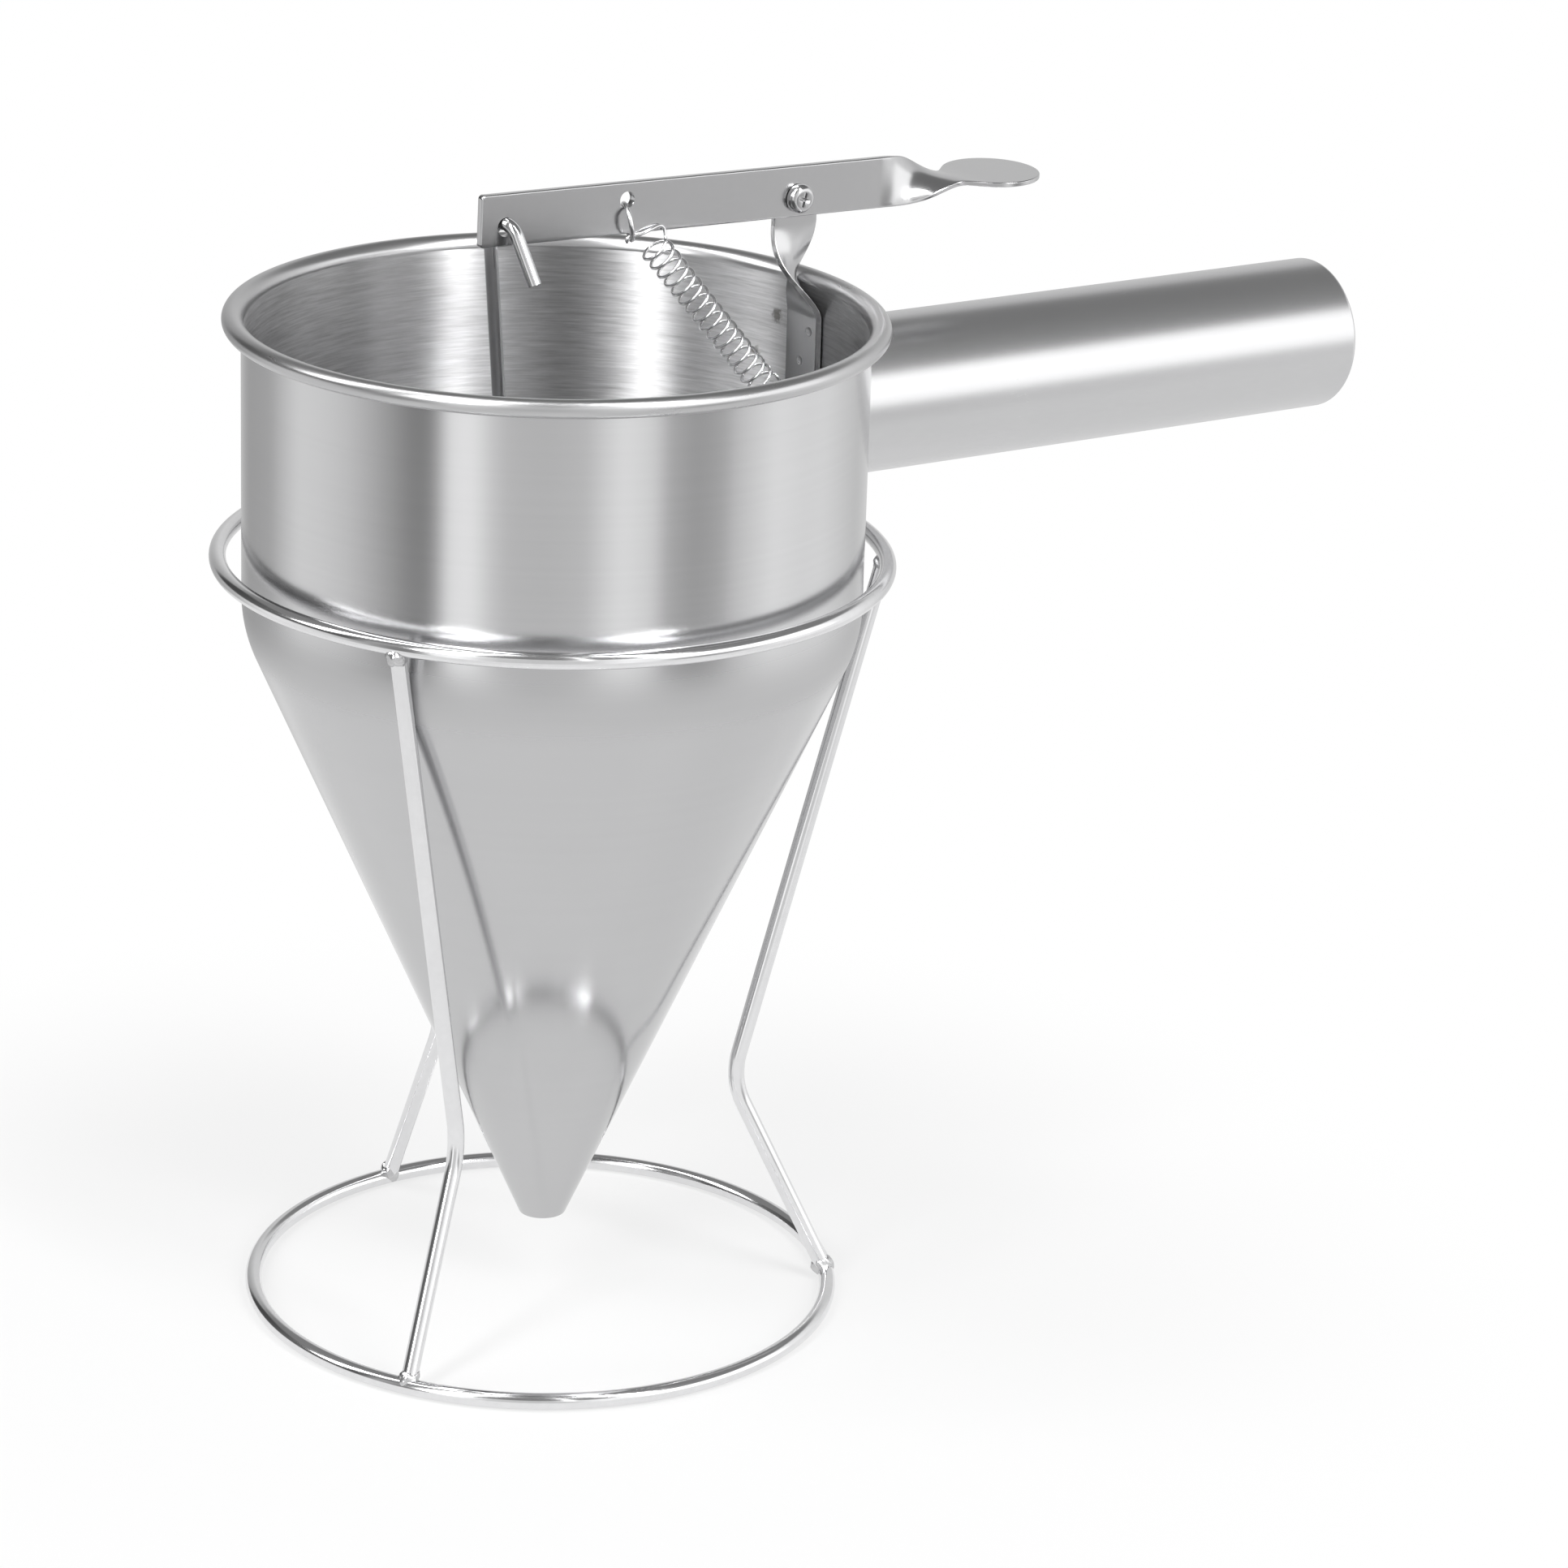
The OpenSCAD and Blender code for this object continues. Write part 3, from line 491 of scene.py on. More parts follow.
inside = [(body_r - sheet, z) for z in (236.0, 215.0, 196.0)]
inside += arc(shoulder, shoulder_r - sheet, 0, -cone_lean, 24) + [(cone_inner, mouth_z)]
outline = [(r * MM, z * MM) for r, z in outside + rim + inside]
around = 320
verts, faces = spin(outline, around)
cone_rows = len(cone_foot + cone + cone_top)
finish_of = [3] * cone_rows + [0] * (len(outside) - cone_rows)
finish_of += [1] * (len(rim) - 1) + [2] * (len(inside) + 1)
piece("funnel", verts, faces, [spun, rolled, brushed, smooth], "funnel", ["funnel_shell"],
      sharp=50, face_material=[finish for finish in finish_of for _ in range(around)])

# %% [markdown]
# ## The handle
# A tube of 38 mm is saddled to the funnel's wall and welded all round. Each row of the tube starts on
# the wall, so the saddle comes from solving where a line along the tube meets the round wall. The weld
# was ground into a small hollow fillet. A disc closes the outer end.

# %% Handle tube
grip_r, grip_t, grip_reach, grip_z, droop = 19.1, 1.0, 231.0, 217.8, radians(1)
grip_l = grip_reach / cos(droop)
grip_place = Matrix.Translation((0, 0, grip_z * MM)) @ Matrix.Rotation(pi / 2 + droop, 4, "Y")


print("handle's length from the axis, mm:", round(grip_l, 1))


def on_wall(angle, r):
    """How far along the handle's axis a line at that angle and distance from the axis meets the wall."""
    y, low = r * sin(angle), r * cos(angle)
    x = sqrt(body_r ** 2 - y ** 2)
    return (x + low * sin(droop)) / cos(droop)


def rings_to_faces(rings, count):
    """The faces between rings of count points, the last of which joins the first again."""
    return [
        (i * count + k, i * count + (k + 1) % count, (i + 1) % rings * count + (k + 1) % count,
         (i + 1) % rings * count + k)
        for i in range(rings) for k in range(count)
    ]


steps = 160
angles = in_steps(2 * pi, steps)[:-1]


def handle_rings(rows):
    """rows: functions of an angle that give (distance from the axis, place along it) in millimetres."""
    return [
        grip_place @ Vector((r * cos(a) * MM, r * sin(a) * MM, t * MM))
        for row in rows for a in angles for r, t in [row(a)]
    ]


cap_t, even_from = 1.2, 82
rows = [lambda a: (grip_r, on_wall(a, grip_r))]
rows += [lambda a, s=s: (grip_r, even_from + (grip_l - cap_t - even_from) * s) for s in in_steps(1, 4)]
rows += [lambda a: (grip_r - grip_t, grip_l - cap_t)]
rows += [lambda a: (grip_r - grip_t, on_wall(a, grip_r - grip_t))]
piece("handle_tube_skin", handle_rings(rows), rings_to_faces(len(rows), steps), [tube_steel],
      "funnel", ["handle_tube"])

# %% Handle weld
fillet = 1.1
rows = [
    lambda a, s=s: (
        grip_r + fillet * (1 - sin(s)),
        on_wall(a, grip_r + fillet * (1 - sin(s))) + fillet * (1 - cos(s)),
    )
    for s in in_steps(pi / 2, 8)
]
rows += [lambda a: (grip_r - 0.05, on_wall(a, grip_r))]
piece("handle_fillet", handle_rings(rows), rings_to_faces(len(rows), steps), [tube_steel],
      "funnel", ["handle_weld"])

# %% Handle end
cap_outline = [(0, grip_l - cap_t), (grip_r - grip_t, grip_l - cap_t), (grip_r, grip_l - cap_t)]
cap_outline += arc((grip_r - cap_t, grip_l - cap_t), cap_t, 0, 90, 8)[1:]
cap_outline += [(grip_r - 3, grip_l), (0, grip_l)]
verts, faces = spin([(r * MM, z * MM) for r, z in cap_outline], steps, grip_place)
piece("handle_end_disc", verts, faces, [tube_steel], "funnel", ["handle_end_cap"])

# %% [markdown]
# ## Wires
# Rings, legs, rod, link ring and spring are all drawn wire. One Geometry Nodes tree sweeps a round
# section along a path. The stand gets a tree of its own: it rounds the knee of one leg, repeats the leg
# round the funnel's axis and adds the two rings, so the number of legs and every bend stays an input.

# %% Node trees for wire
def new_tree(name, inputs):
    """An empty Geometry Nodes tree with named inputs, each of them (label, kind of socket, value)."""
    tree = bpy.data.node_groups.new(name, "GeometryNodeTree")
    tree.interface.new_socket("Geometry", in_out="INPUT", socket_type="NodeSocketGeometry")
    for label, kind, value in inputs:
        socket = tree.interface.new_socket(label, in_out="INPUT", socket_type=kind)
        socket.default_value = value
    tree.interface.new_socket("Geometry", in_out="OUTPUT", socket_type="NodeSocketGeometry")
    return tree, tree.nodes.new("NodeGroupInput"), tree.nodes.new("NodeGroupOutput")


def sweep(tree, curve, radius, sides):
    """A round wire along a curve, with both ends closed."""
    section = add(tree, "GeometryNodeCurvePrimitiveCircle", {"Resolution": sides, "Radius": radius})
    return add(tree, "GeometryNodeCurveToMesh", {
        "Curve": curve, "Profile Curve": section, "Fill Caps": True})


def closing(tree, geometry, material, output):
    """Ends a tree: its instances become real and get their finish."""
    real = add(tree, "GeometryNodeRealizeInstances", {0: geometry})
    feed(tree, output, {0: add(tree, "GeometryNodeSetMaterial", {"Geometry": real, "Material": material})})


wire_tree, came_in, gone_out = new_tree("round_wire", [
    ("Wire Radius", "NodeSocketFloat", 0.001), ("Sides", "NodeSocketInt", 16),
    ("Finish", "NodeSocketMaterial", None)])
given = came_in.outputs
wire_along = sweep(wire_tree, given["Geometry"], given["Wire Radius"], given["Sides"])
closing(wire_tree, wire_along, given["Finish"], gone_out)
print("inputs of the wire tree:", [socket.name for socket in given if socket.name])


def run_tree(name, points, tree, values):
    """Lays a path through the points, in millimetres, runs the tree on it and returns the plain mesh."""
    curve = bpy.data.curves.new(name, "CURVE")
    curve.dimensions = "3D"
    spline = curve.splines.new("POLY")
    spline.points.add(len(points) - 1)
    for point, place in zip(spline.points, points):
        point.co = (*(Vector(place) * MM), 1)
    source = bpy.data.objects.new(name + "_path", curve)
    modifier = source.modifiers.new(tree.name, "NODES")
    modifier.node_group = tree
    for socket in tree.interface.items_tree:
        if socket.in_out == "INPUT" and socket.name in values:
            modifier[socket.identifier] = values[socket.name]
    mesh = result_of(link(source), [source])
    mesh.name = name
    return mesh


def wire(name, points, radius, sides, finish):
    """The mesh of one length of wire."""
    return run_tree(name, points, wire_tree, {"Wire Radius": radius * MM, "Sides": sides, "Finish": finish})


# %% [markdown]
# ## The stand
# Each leg is one length of 4 mm wire. It leans inward from the top ring, bends at a knee and spreads to
# the base ring. The funnel's shoulder rests on the three leaning legs.

# %% Stand: sizes and node tree
wire_r, top_ring_z, base_ring_r, leg_lean, knee_z = 2.0, 188.7, 71.0, 13.8, 54.0
leg_azimuth, knee_bend, seat_gap = 91.0, 20.0, 0.25


def leg_r(z):
    """How far from the funnel's axis the leaning part of a leg is at a height."""
    lean = radians(leg_lean)
    return shoulder[0] + (shoulder_r + seat_gap + wire_r) / cos(lean) + (z - shoulder[1]) * tan(lean)


tree, came_in, gone_out = new_tree("wire_stand", [
    ("Wire Radius", "NodeSocketFloat", 0.002), ("Sides", "NodeSocketInt", 32),
    ("Knee Radius", "NodeSocketFloat", 0.02), ("Leg Count", "NodeSocketInt", 3),
    ("First Leg", "NodeSocketFloat", 0.0), ("Top Ring Radius", "NodeSocketFloat", 0.08),
    ("Top Ring Height", "NodeSocketFloat", 0.19), ("Base Ring Radius", "NodeSocketFloat", 0.07),
    ("Finish", "NodeSocketMaterial", None)])
given = came_in.outputs
bend = tree.nodes.new("GeometryNodeFilletCurve")
bend.mode = "POLY"
feed(tree, bend, {"Count": 16, "Curve": given["Geometry"], "Radius": given["Knee Radius"]})
one_leg = sweep(tree, bend, given["Wire Radius"], given["Sides"])
spots = add(tree, "GeometryNodePoints", {"Count": given["Leg Count"]})
which = add(tree, "GeometryNodeInputIndex", {})
leg_share = maths(tree, "DIVIDE", which, given["Leg Count"])
leg_turn = maths(tree, "MULTIPLY_ADD", leg_share, 2 * pi, given["First Leg"])
upright_turn = add(tree, "ShaderNodeCombineXYZ", {"Z": leg_turn})
legs = add(tree, "GeometryNodeInstanceOnPoints", {
    "Points": spots, "Instance": one_leg, "Rotation": upright_turn})
together = add(tree, "GeometryNodeJoinGeometry", {0: legs})
for radius, height in (("Top Ring Radius", "Top Ring Height"), ("Base Ring Radius", "Wire Radius")):
    circle = add(tree, "GeometryNodeCurvePrimitiveCircle", {"Resolution": 240, "Radius": given[radius]})
    lift = add(tree, "ShaderNodeCombineXYZ", {"Z": given[height]})
    raised = add(tree, "GeometryNodeTransform", {"Geometry": circle, "Translation": lift})
    feed(tree, together, {0: sweep(tree, raised, given["Wire Radius"], given["Sides"])})
closing(tree, together, given["Finish"], gone_out)
print("inputs of the stand's tree:", [socket.name for socket in given if socket.name])

# %% Stand: wire
foot_in, foot_up, top_down = 0.3, 0.4, 0.8  # the leg's ends stop inside the two rings
leg_top_z = top_ring_z - top_down
leg_line = [(base_ring_r - foot_in, 0, wire_r + foot_up), (leg_r(knee_z), 0, knee_z),
            (leg_r(leg_top_z), 0, leg_top_z)]
stand_mesh = run_tree("stand_wire", leg_line, tree, {
    "Wire Radius": wire_r * MM, "Sides": 40, "Knee Radius": knee_bend * MM, "Leg Count": 3,
    "First Leg": radians(leg_azimuth), "Top Ring Radius": leg_r(top_ring_z) * MM,
    "Top Ring Height": top_ring_z * MM, "Base Ring Radius": base_ring_r * MM, "Finish": drawn})
finish_mesh(stand_mesh, "stand_wire", "stand",
            ["top_ring", "base_ring", "leg_front", "leg_right", "leg_back"])


# %% [markdown]
# ## Weld beads
# The legs are butt-welded under the top ring and onto the base ring. A bead of melted wire sits round
# each joint. It is a ball pulled along the leg, with slow noise for the swelling and quick noise for
# the ripples.

# %% Weld beads of the stand
def bead_mesh(work, centre, axis, radius, stretch, seed):
    """Adds one bead: a ball, longer along its axis, that two sizes of noise swell and ripple."""
    turn = Vector((0, 0, 1)).rotation_difference(Vector(axis)).to_matrix().to_4x4()
    made = bmesh.ops.create_icosphere(work, subdivisions=4, radius=1.0)
    for v in made["verts"]:
        n = v.co.normalized()
        swell = noise.noise(n * 1.3 + Vector((seed, 0, 0))) * 0.3
        ripple = noise.noise(n * 4 + Vector((0, seed, 0))) * 0.1
        r = radius * (1 + (swell + ripple))
        v.co = Vector(centre) + turn @ Vector((n.x * r, n.y * r, n.z * r * stretch))


def beads(name, body, replaced, places):
    """All beads of one kind; each place is (centre, axis, radius, how much longer than wide)."""
    work = bmesh.new()
    for seed, (centre, axis, radius, stretch) in enumerate(places):
        bead_mesh(work, Vector(centre) * MM, axis, radius * MM, stretch, seed * 3.7)
    mesh = mesh_from(work, name)
    mesh.materials.append(bead)
    finish_mesh(mesh, name, body, replaced, sharp=80)


leg_angles = [radians(leg_azimuth + 120 * k) for k in range(3)]
top_r, top_z = leg_r(top_ring_z - wire_r) + 0.4, top_ring_z - wire_r
foot_lean = atan((base_ring_r - leg_r(knee_z)) / (knee_z - wire_r))


def around_leg(a, r, z):
    """A point or direction in the upright plane of the leg at angle a."""
    return r * cos(a), r * sin(a), z


beads("ring_weld_beads", "stand", ["ring_welds"], [
    (around_leg(a, top_r, top_z), around_leg(a, 0.2, 1), 2.45, 1.15) for a in leg_angles])
foot_r = base_ring_r - wire_r * tan(foot_lean)
beads("foot_weld_beads", "stand", ["foot_welds"], [
    (around_leg(a, foot_r, wire_r + 1.6), around_leg(a, -sin(foot_lean), cos(foot_lean)), 2.4, 1.3)
    for a in leg_angles])


# %% [markdown]
# ## Bars that are cut flat and then bent
# The lever and its bracket are flat strip with a quarter twist. A plate is described by stations: how
# far along it, and how wide there. Its edge is rounded all the way round. A second function then says
# where each station's middle lies and which way its width and its thickness point, and every point of
# the flat plate is carried there.

# %% Plate tool
def plate(stations, thickness, round_r, columns, holes):
    """A flat closed mesh from stations of (along, half width): X along, Y across, Z through it."""
    work = bmesh.new()
    n = len(stations)
    normals = []
    for i, (u, w) in enumerate(stations):
        a, b = stations[max(i - 1, 0)], stations[min(i + 1, n - 1)]
        t = Vector((b[0] - a[0], b[1] - a[1]))
        if w == 0:
            t = Vector((0, 1)) if i == 0 else Vector((0, -1))
        t.normalize()
        normals.append(Vector((-t.y, t.x)))
    section = [(round_r * (1 - sin(s)), thickness / 2 - round_r * (1 - cos(s)))
               for s in in_steps(pi / 2, 4)]
    section += [(inset, -z) for inset, z in reversed(section)]

    def edge_point(i, side, inset, z):
        """A point on one side's edge, at a distance in from it."""
        u, w = stations[i]
        nx, ny = normals[i]
        return Vector(((u - inset * nx), side * (w - inset * ny), z))

    rim = [(i, 1) for i in range(n)] + [(i, -1) for i in range(n - 1, -1, -1)]
    loops = [[work.verts.new(edge_point(i, side, inset, z)) for inset, z in section] for i, side in rim]
    for c in range(1, columns):
        ends = [(edge_point(0, -1, inset, z), edge_point(0, 1, inset, z)) for inset, z in section]
        loops.append([work.verts.new(a.lerp(b, c / columns)) for a, b in ends])
    for a, b in zip(loops, loops[1:] + loops[:1]):
        for k in range(len(section) - 1):
            work.faces.new((a[k], a[k + 1], b[k + 1], b[k]))
    for z in (thickness / 2, -thickness / 2):
        rows = []
        for i in range(n):
            left, right = edge_point(i, 1, round_r, z), edge_point(i, -1, round_r, z)
            rows.append([work.verts.new(left.lerp(right, c / columns)) for c in range(columns + 1)])
        for a, b in zip(rows, rows[1:]):
            for c in range(columns):
                work.faces.new((a[c], a[c + 1], b[c + 1], b[c]))
    mesh = mesh_from(work, "plate")
    join_up(mesh, near=1e-4, thin=1e-4)
    return drill(mesh, holes)


# %% Cutting and bending a plate
def cut_solid(mesh, tool_meshes, operation, edge_angle, bevel, use_self=False):
    """Cuts a mesh by others. Edges sharper than an angle get a bevel, so that they catch the light."""
    body = link(bpy.data.objects.new("work", mesh))
    tools = [link(bpy.data.objects.new("tool", tool_mesh)) for tool_mesh in tool_meshes]
    for tool in tools:
        cutter = body.modifiers.new("cut", "BOOLEAN")
        cutter.object, cutter.operation, cutter.solver, cutter.use_self = tool, operation, "EXACT", use_self
    if bevel:
        edge = body.modifiers.new("edge", "BEVEL")
        edge.limit_method, edge.angle_limit = "ANGLE", radians(edge_angle)
        edge.width, edge.segments = bevel, 2
    return result_of(body, [body, *tools])


def prism(r, sides, depth, place):
    """An upright prism with its middle at the place's origin, or a round bar if it has many sides."""
    work = bmesh.new()
    bmesh.ops.create_cone(
        work, cap_ends=True, segments=sides, radius1=r, radius2=r, depth=depth, matrix=place)
    return mesh_from(work, "prism")


def drill(mesh, holes):
    """Cuts round holes of (along, across, radius) through a flat plate and breaks their edges."""
    drills = [prism(r, 64, 20, Matrix.Translation((u, v, 0))) for u, v, r in holes]
    return cut_solid(mesh, drills, "DIFFERENCE", 60, 0.18)


def press(mesh, place, name, body, replaced):
    """Bends a flat plate and finishes it. place(along) is (middle, width direction, thickness direction)."""
    for v in mesh.vertices:
        middle, wide, thick = place(v.co.x)
        v.co = (middle + wide * v.co.y + thick * v.co.z) * MM
    mesh.materials.append(pressed)
    finish_mesh(mesh, name, body, [replaced], flat=True)


def ease(u):
    """0 to 1 with a soft start and end, and level outside that."""
    u = min(1.0, max(0.0, u))
    return u * u * (3 - 2 * u)


# %% [markdown]
# ## The thumb lever
# A strip of 12.4 by 2 mm stands on edge above the funnel. Past the pivot it twists flat and ends in a
# round paddle for the thumb. The outline narrows a little to a neck and flows into the paddle.

# %% Thumb lever: outline
pivot = Vector((67.0, 0.0, rim_top + 19.6))
strip_h, strip_t, strip_rise, lever_droop = 6.2, 2.0, 1.6, radians(1.65)
inner_end, corner_r, twist_from, twist_to, twist_drop = -89.0, 1.0, 24.0, 47.6, 0.8
neck, paddle_half, paddle_long, paddle_tilt, paddle_t = 5.2, 13.1, 21.8, radians(3), 1.2
paddle_a = paddle_long / (1 + sqrt(1 - (neck / paddle_half) ** 2))
paddle_mid = twist_to + paddle_long - paddle_a
neck_from, round_from, paddle_bend = twist_to - 3.5, twist_to + 3.4, 5.0
rod_hole_u, ring_hole_u, ring_hole_up = -82.2, -49.0, 2.0
rod_hole_r, ring_hole_r, pivot_hole_r, strip_edge = 2.3, 2.0, 1.8, 0.4


def lever_half(u):
    """Half the strip's width at a place along it, up to where the paddle's round takes over."""
    if u <= neck_from:
        return strip_h + (neck - strip_h) * ease((u - twist_from) / (neck_from - twist_from))
    p = (round_from - paddle_mid) / paddle_a
    end_half, end_slope = paddle_half * sqrt(1 - p * p), -paddle_half * p / sqrt(1 - p * p) / paddle_a
    h = round_from - neck_from
    s = (u - neck_from) / h
    return neck + (3 * s * s - 2 * s ** 3) * (end_half - neck) + (s ** 3 - s * s) * h * end_slope


stations = [(inner_end, strip_h - corner_r)]
stations += [(inner_end + corner_r - corner_r * cos(a), strip_h - corner_r + corner_r * sin(a))
             for a in in_steps(pi / 2, 8)[1:]]
stations += [(u, strip_h) for u in (-60, -30, 0, 12, 20)]
twist_step, paddle_steps = 0.5, 36
stations += [(u, lever_half(u)) for u in (
    twist_from + twist_step * i for i in range(int((round_from - twist_from) / twist_step)))]
round_angle = acos((round_from - paddle_mid) / paddle_a)
stations += [(paddle_mid + paddle_a * cos(a), paddle_half * sin(a))
             for a in (round_angle * (1 - i / paddle_steps) for i in range(paddle_steps))]
stations += [(paddle_mid + paddle_a, 0)]


print("lever's flat length, mm:", round(paddle_mid + paddle_a - inner_end, 1))

# %% Thumb lever: twist and droop
drooped = Matrix.Rotation(lever_droop, 3, "Y")


def lever_place(u):
    """Where a place along the flat lever goes: twist, then the paddle's bend, then the lever's droop."""
    s = ease((u - twist_from) / (twist_to - twist_from))
    a = pi / 2 * s
    z = strip_rise - twist_drop * s
    bent = max(0.0, u - twist_to)
    z += sin(paddle_tilt) * (
        bent * bent / (2 * paddle_bend) if bent < paddle_bend else bent - paddle_bend / 2)
    wide = Vector((0, sin(a), cos(a)))
    thick = Vector((0, cos(a), -sin(a)))
    thick *= 1 + (paddle_t / strip_t - 1) * s
    return pivot + drooped @ Vector((u, 0, z)), drooped @ wide, drooped @ thick


lever_mesh = plate(stations, strip_t, strip_edge, 14, holes=[
    (rod_hole_u, -strip_rise, rod_hole_r), (ring_hole_u, ring_hole_up, ring_hole_r),
    (0.0, -strip_rise, pivot_hole_r)])
press(lever_mesh, lever_place, "thumb_lever_strip", "lever", "thumb_lever")

# %% [markdown]
# ## The bracket
# A strap carries the pivot. Its upper end is round and stands beside the lever. Below, it makes a
# quarter twist and lies flat on the inner wall, where two spot welds hold it. Its lower end is bent
# inward as a tab for the spring's hook.

# %% Bracket strap: bends
strap_w, strap_t, strap_x, strap_y = 6.2, 1.6, pivot.x + 1.4, 1.65
foot_y, foot_top, foot_low, tab_l = 1.2, rim_top - 10.2, rim_top - 31.2, 7.5
wall_gap, tab_over, bend_r, strap_edge = 0.02, 0.8, 1.6, 0.3
wall_in = body_r - sheet
strap_back = sqrt(wall_in ** 2 - (foot_y + strap_w) ** 2) - wall_gap
twist_top = pivot.z - 6.8
head_l = strap_w + pivot.z - twist_top
twist_l = twist_top - foot_top
foot_l = foot_top - foot_low - bend_r
bend_l = pi / 2 * (bend_r - strap_t / 2)
tab_flat = tab_l - bend_r - strap_t / 2 + tab_over
total = head_l + twist_l + foot_l + bend_l + tab_flat
print("strap's flat length, mm:", round(total, 1))


def strap_place(u):
    """Where a place along the flat strap goes: head, quarter twist, foot on the wall, bend and tab."""
    if u <= head_l:
        middle = Vector((strap_x, strap_y + strap_t / 2, pivot.z + strap_w - u))
        return middle, Vector((1, 0, 0)), Vector((0, 1, 0))
    if u <= head_l + twist_l:
        t = (u - head_l) / twist_l
        s = ease(t)
        a = pi / 2 * s
        x = strap_x + (strap_back - strap_w * cos(a) - strap_t / 2 * sin(a) - strap_x) * t
        y = strap_y + strap_t / 2 + (foot_y - strap_y - strap_t / 2) * s
        wide = Vector((cos(a), sin(a), 0))
        return Vector((x, y, twist_top - twist_l * t)), wide, Vector((-sin(a), cos(a), 0))
    x = strap_back - strap_t / 2
    u -= head_l + twist_l
    if u <= foot_l:
        return Vector((x, foot_y, foot_top - u)), Vector((0, 1, 0)), Vector((-1, 0, 0))
    u -= foot_l
    mid_r = bend_r - strap_t / 2
    a = min(u / mid_r, pi / 2)
    centre = Vector((x - mid_r, foot_y, foot_low + bend_r))
    out = Vector((cos(a), 0, -sin(a)))
    return centre + out * mid_r + Vector((-1, 0, 0)) * max(0.0, u - bend_l), Vector((0, 1, 0)), -out


# %% Bracket strap: outline and holes
twist_rows, quarter = 46, in_steps(pi / 2, 20)
foot_start = head_l + twist_l
bend_start, tab_start = foot_start + foot_l, total - strap_w
stations = [(strap_w - strap_w * cos(a), strap_w * sin(a)) for a in quarter]
stations += [(head_l, strap_w)]
stations += [(head_l + twist_l * i / twist_rows, strap_w) for i in range(1, twist_rows + 1)]
stations += [(foot_start + foot_l * i / 4, strap_w) for i in range(1, 5)]
stations += [(bend_start + (tab_start - bend_start) * i / 8, strap_w) for i in range(1, 8)]
stations += [(tab_start + strap_w * sin(a), strap_w * cos(a)) for a in quarter[:-1]]
stations += [(total, 0)]
spot_shares, spot_r = ((0.84, -0.26), (0.46, 0.02)), 1.3
foot_h = foot_top - foot_low
spot_cuts = [(foot_start + (1 - z) * foot_h, y * 2 * strap_w, spot_r) for z, y in spot_shares]
hook_hole_in, hook_hole_r = 3.1, 1.5
hook_hole = (total - hook_hole_in, 0.0, hook_hole_r)
strap_mesh = plate(stations, strap_t, strap_edge, 10, holes=[hook_hole, *spot_cuts])
press(strap_mesh, strap_place, "bracket_strap", "funnel", "pivot_bracket")

# %% Spot welds: a dish with a raised lip, pressed into the strap's face
spot_outline = [(0, -0.3), (0.4, -0.27), (0.75, -0.16), (1.0, -0.02), (1.15, 0.04), (1.3, 0.03), (1.42, 0),
                (1.42, -0.3), (1.3, -0.35), (1.3, -1.5), (0, -1.5)]
verts, faces = [], []
for share_z, share_y in spot_shares:
    face_x = strap_back - strap_t
    at = Vector((face_x, foot_y + share_y * 2 * strap_w, foot_low + share_z * foot_h)) * MM
    place = Matrix.Translation(at) @ Matrix.Rotation(-pi / 2, 4, "Y")
    v, f = spin([(r * MM, z * MM) for r, z in spot_outline], 40, place)
    faces += [tuple(len(verts) + k for k in face) for face in f]
    verts += v
piece("spot_weld_marks", verts, faces, [pressed], "funnel", ["spot_welds"])

# %% [markdown]
# ## Screw, washer and nut
# A pan-head screw with a cross recess is the lever's axle. The head is turned, then a tapered cross is
# cut out of it with a boolean, and a fine bevel catches the light on the recess's edges. The thread
# shows only behind the nut.

# %% Tools for turned parts
def on_pivot(y):
    """Turns a lathe's Z axis to +Y, with its zero at y on the lever's axle."""
    return Matrix.Translation(Vector((pivot.x, y, pivot.z)) * MM) @ Matrix.Rotation(-pi / 2, 4, "X")


def spun_mesh(outline, segments):
    """A lathe piece as a mesh that the boolean cutter accepts, still in millimetres."""
    verts, faces = spin(outline, segments)
    mesh = bpy.data.meshes.new("turned")
    mesh.from_pydata([tuple(v) for v in verts], [], faces)
    join_up(mesh, near=1e-5)
    return mesh


def fit_on_pivot(mesh, y, name, replaced, sharp=35):
    """Moves a turned mesh to its place y on the axle and finishes it."""
    mesh.transform(on_pivot(y) @ Matrix.Scale(MM, 4))
    mesh.materials.clear()
    mesh.materials.append(turned_steel)
    finish_mesh(mesh, name, "funnel", [replaced], sharp)


# %% Screw
play, nut_y, nut_t, past_nut = 0.15, 3.25, 2.8, 0.9
head_r, head_edge, head_h, crown = 3.5, 1.0, 2.6, 1.5
shank_r, root_r, pitch = 1.75, 1.42, 0.6
head_y = -strip_t / 2 - play
turns_from, shank_end = nut_y - head_y, nut_y + nut_t + past_nut - head_y
head = [(head_r, -0.2), (head_r, -head_edge)]
head += [(head_r - crown * (1 - cos(a)), -head_edge - (head_h - head_edge) * sin(a))
         for a in in_steps(pi / 2, 10)[1:]] + [(0, -head_h)]
thread = []
turn_z = turns_from
while turn_z < shank_end - 0.5:
    thread += [(root_r, turn_z), (shank_r, turn_z + pitch / 2)]
    turn_z += pitch
shank = [(0, shank_end), (1.3, shank_end), (shank_r, shank_end - 0.4), *reversed(thread)]
shank += [(shank_r, turns_from - 0.05), (shank_r, 0.0)]
screw_mesh = spun_mesh(shank + head, 72)
cross_turn, cross_l, cross_w, foot_share = 20, 4.6, 0.95, (0.42, 0.62)
cross = bmesh.new()
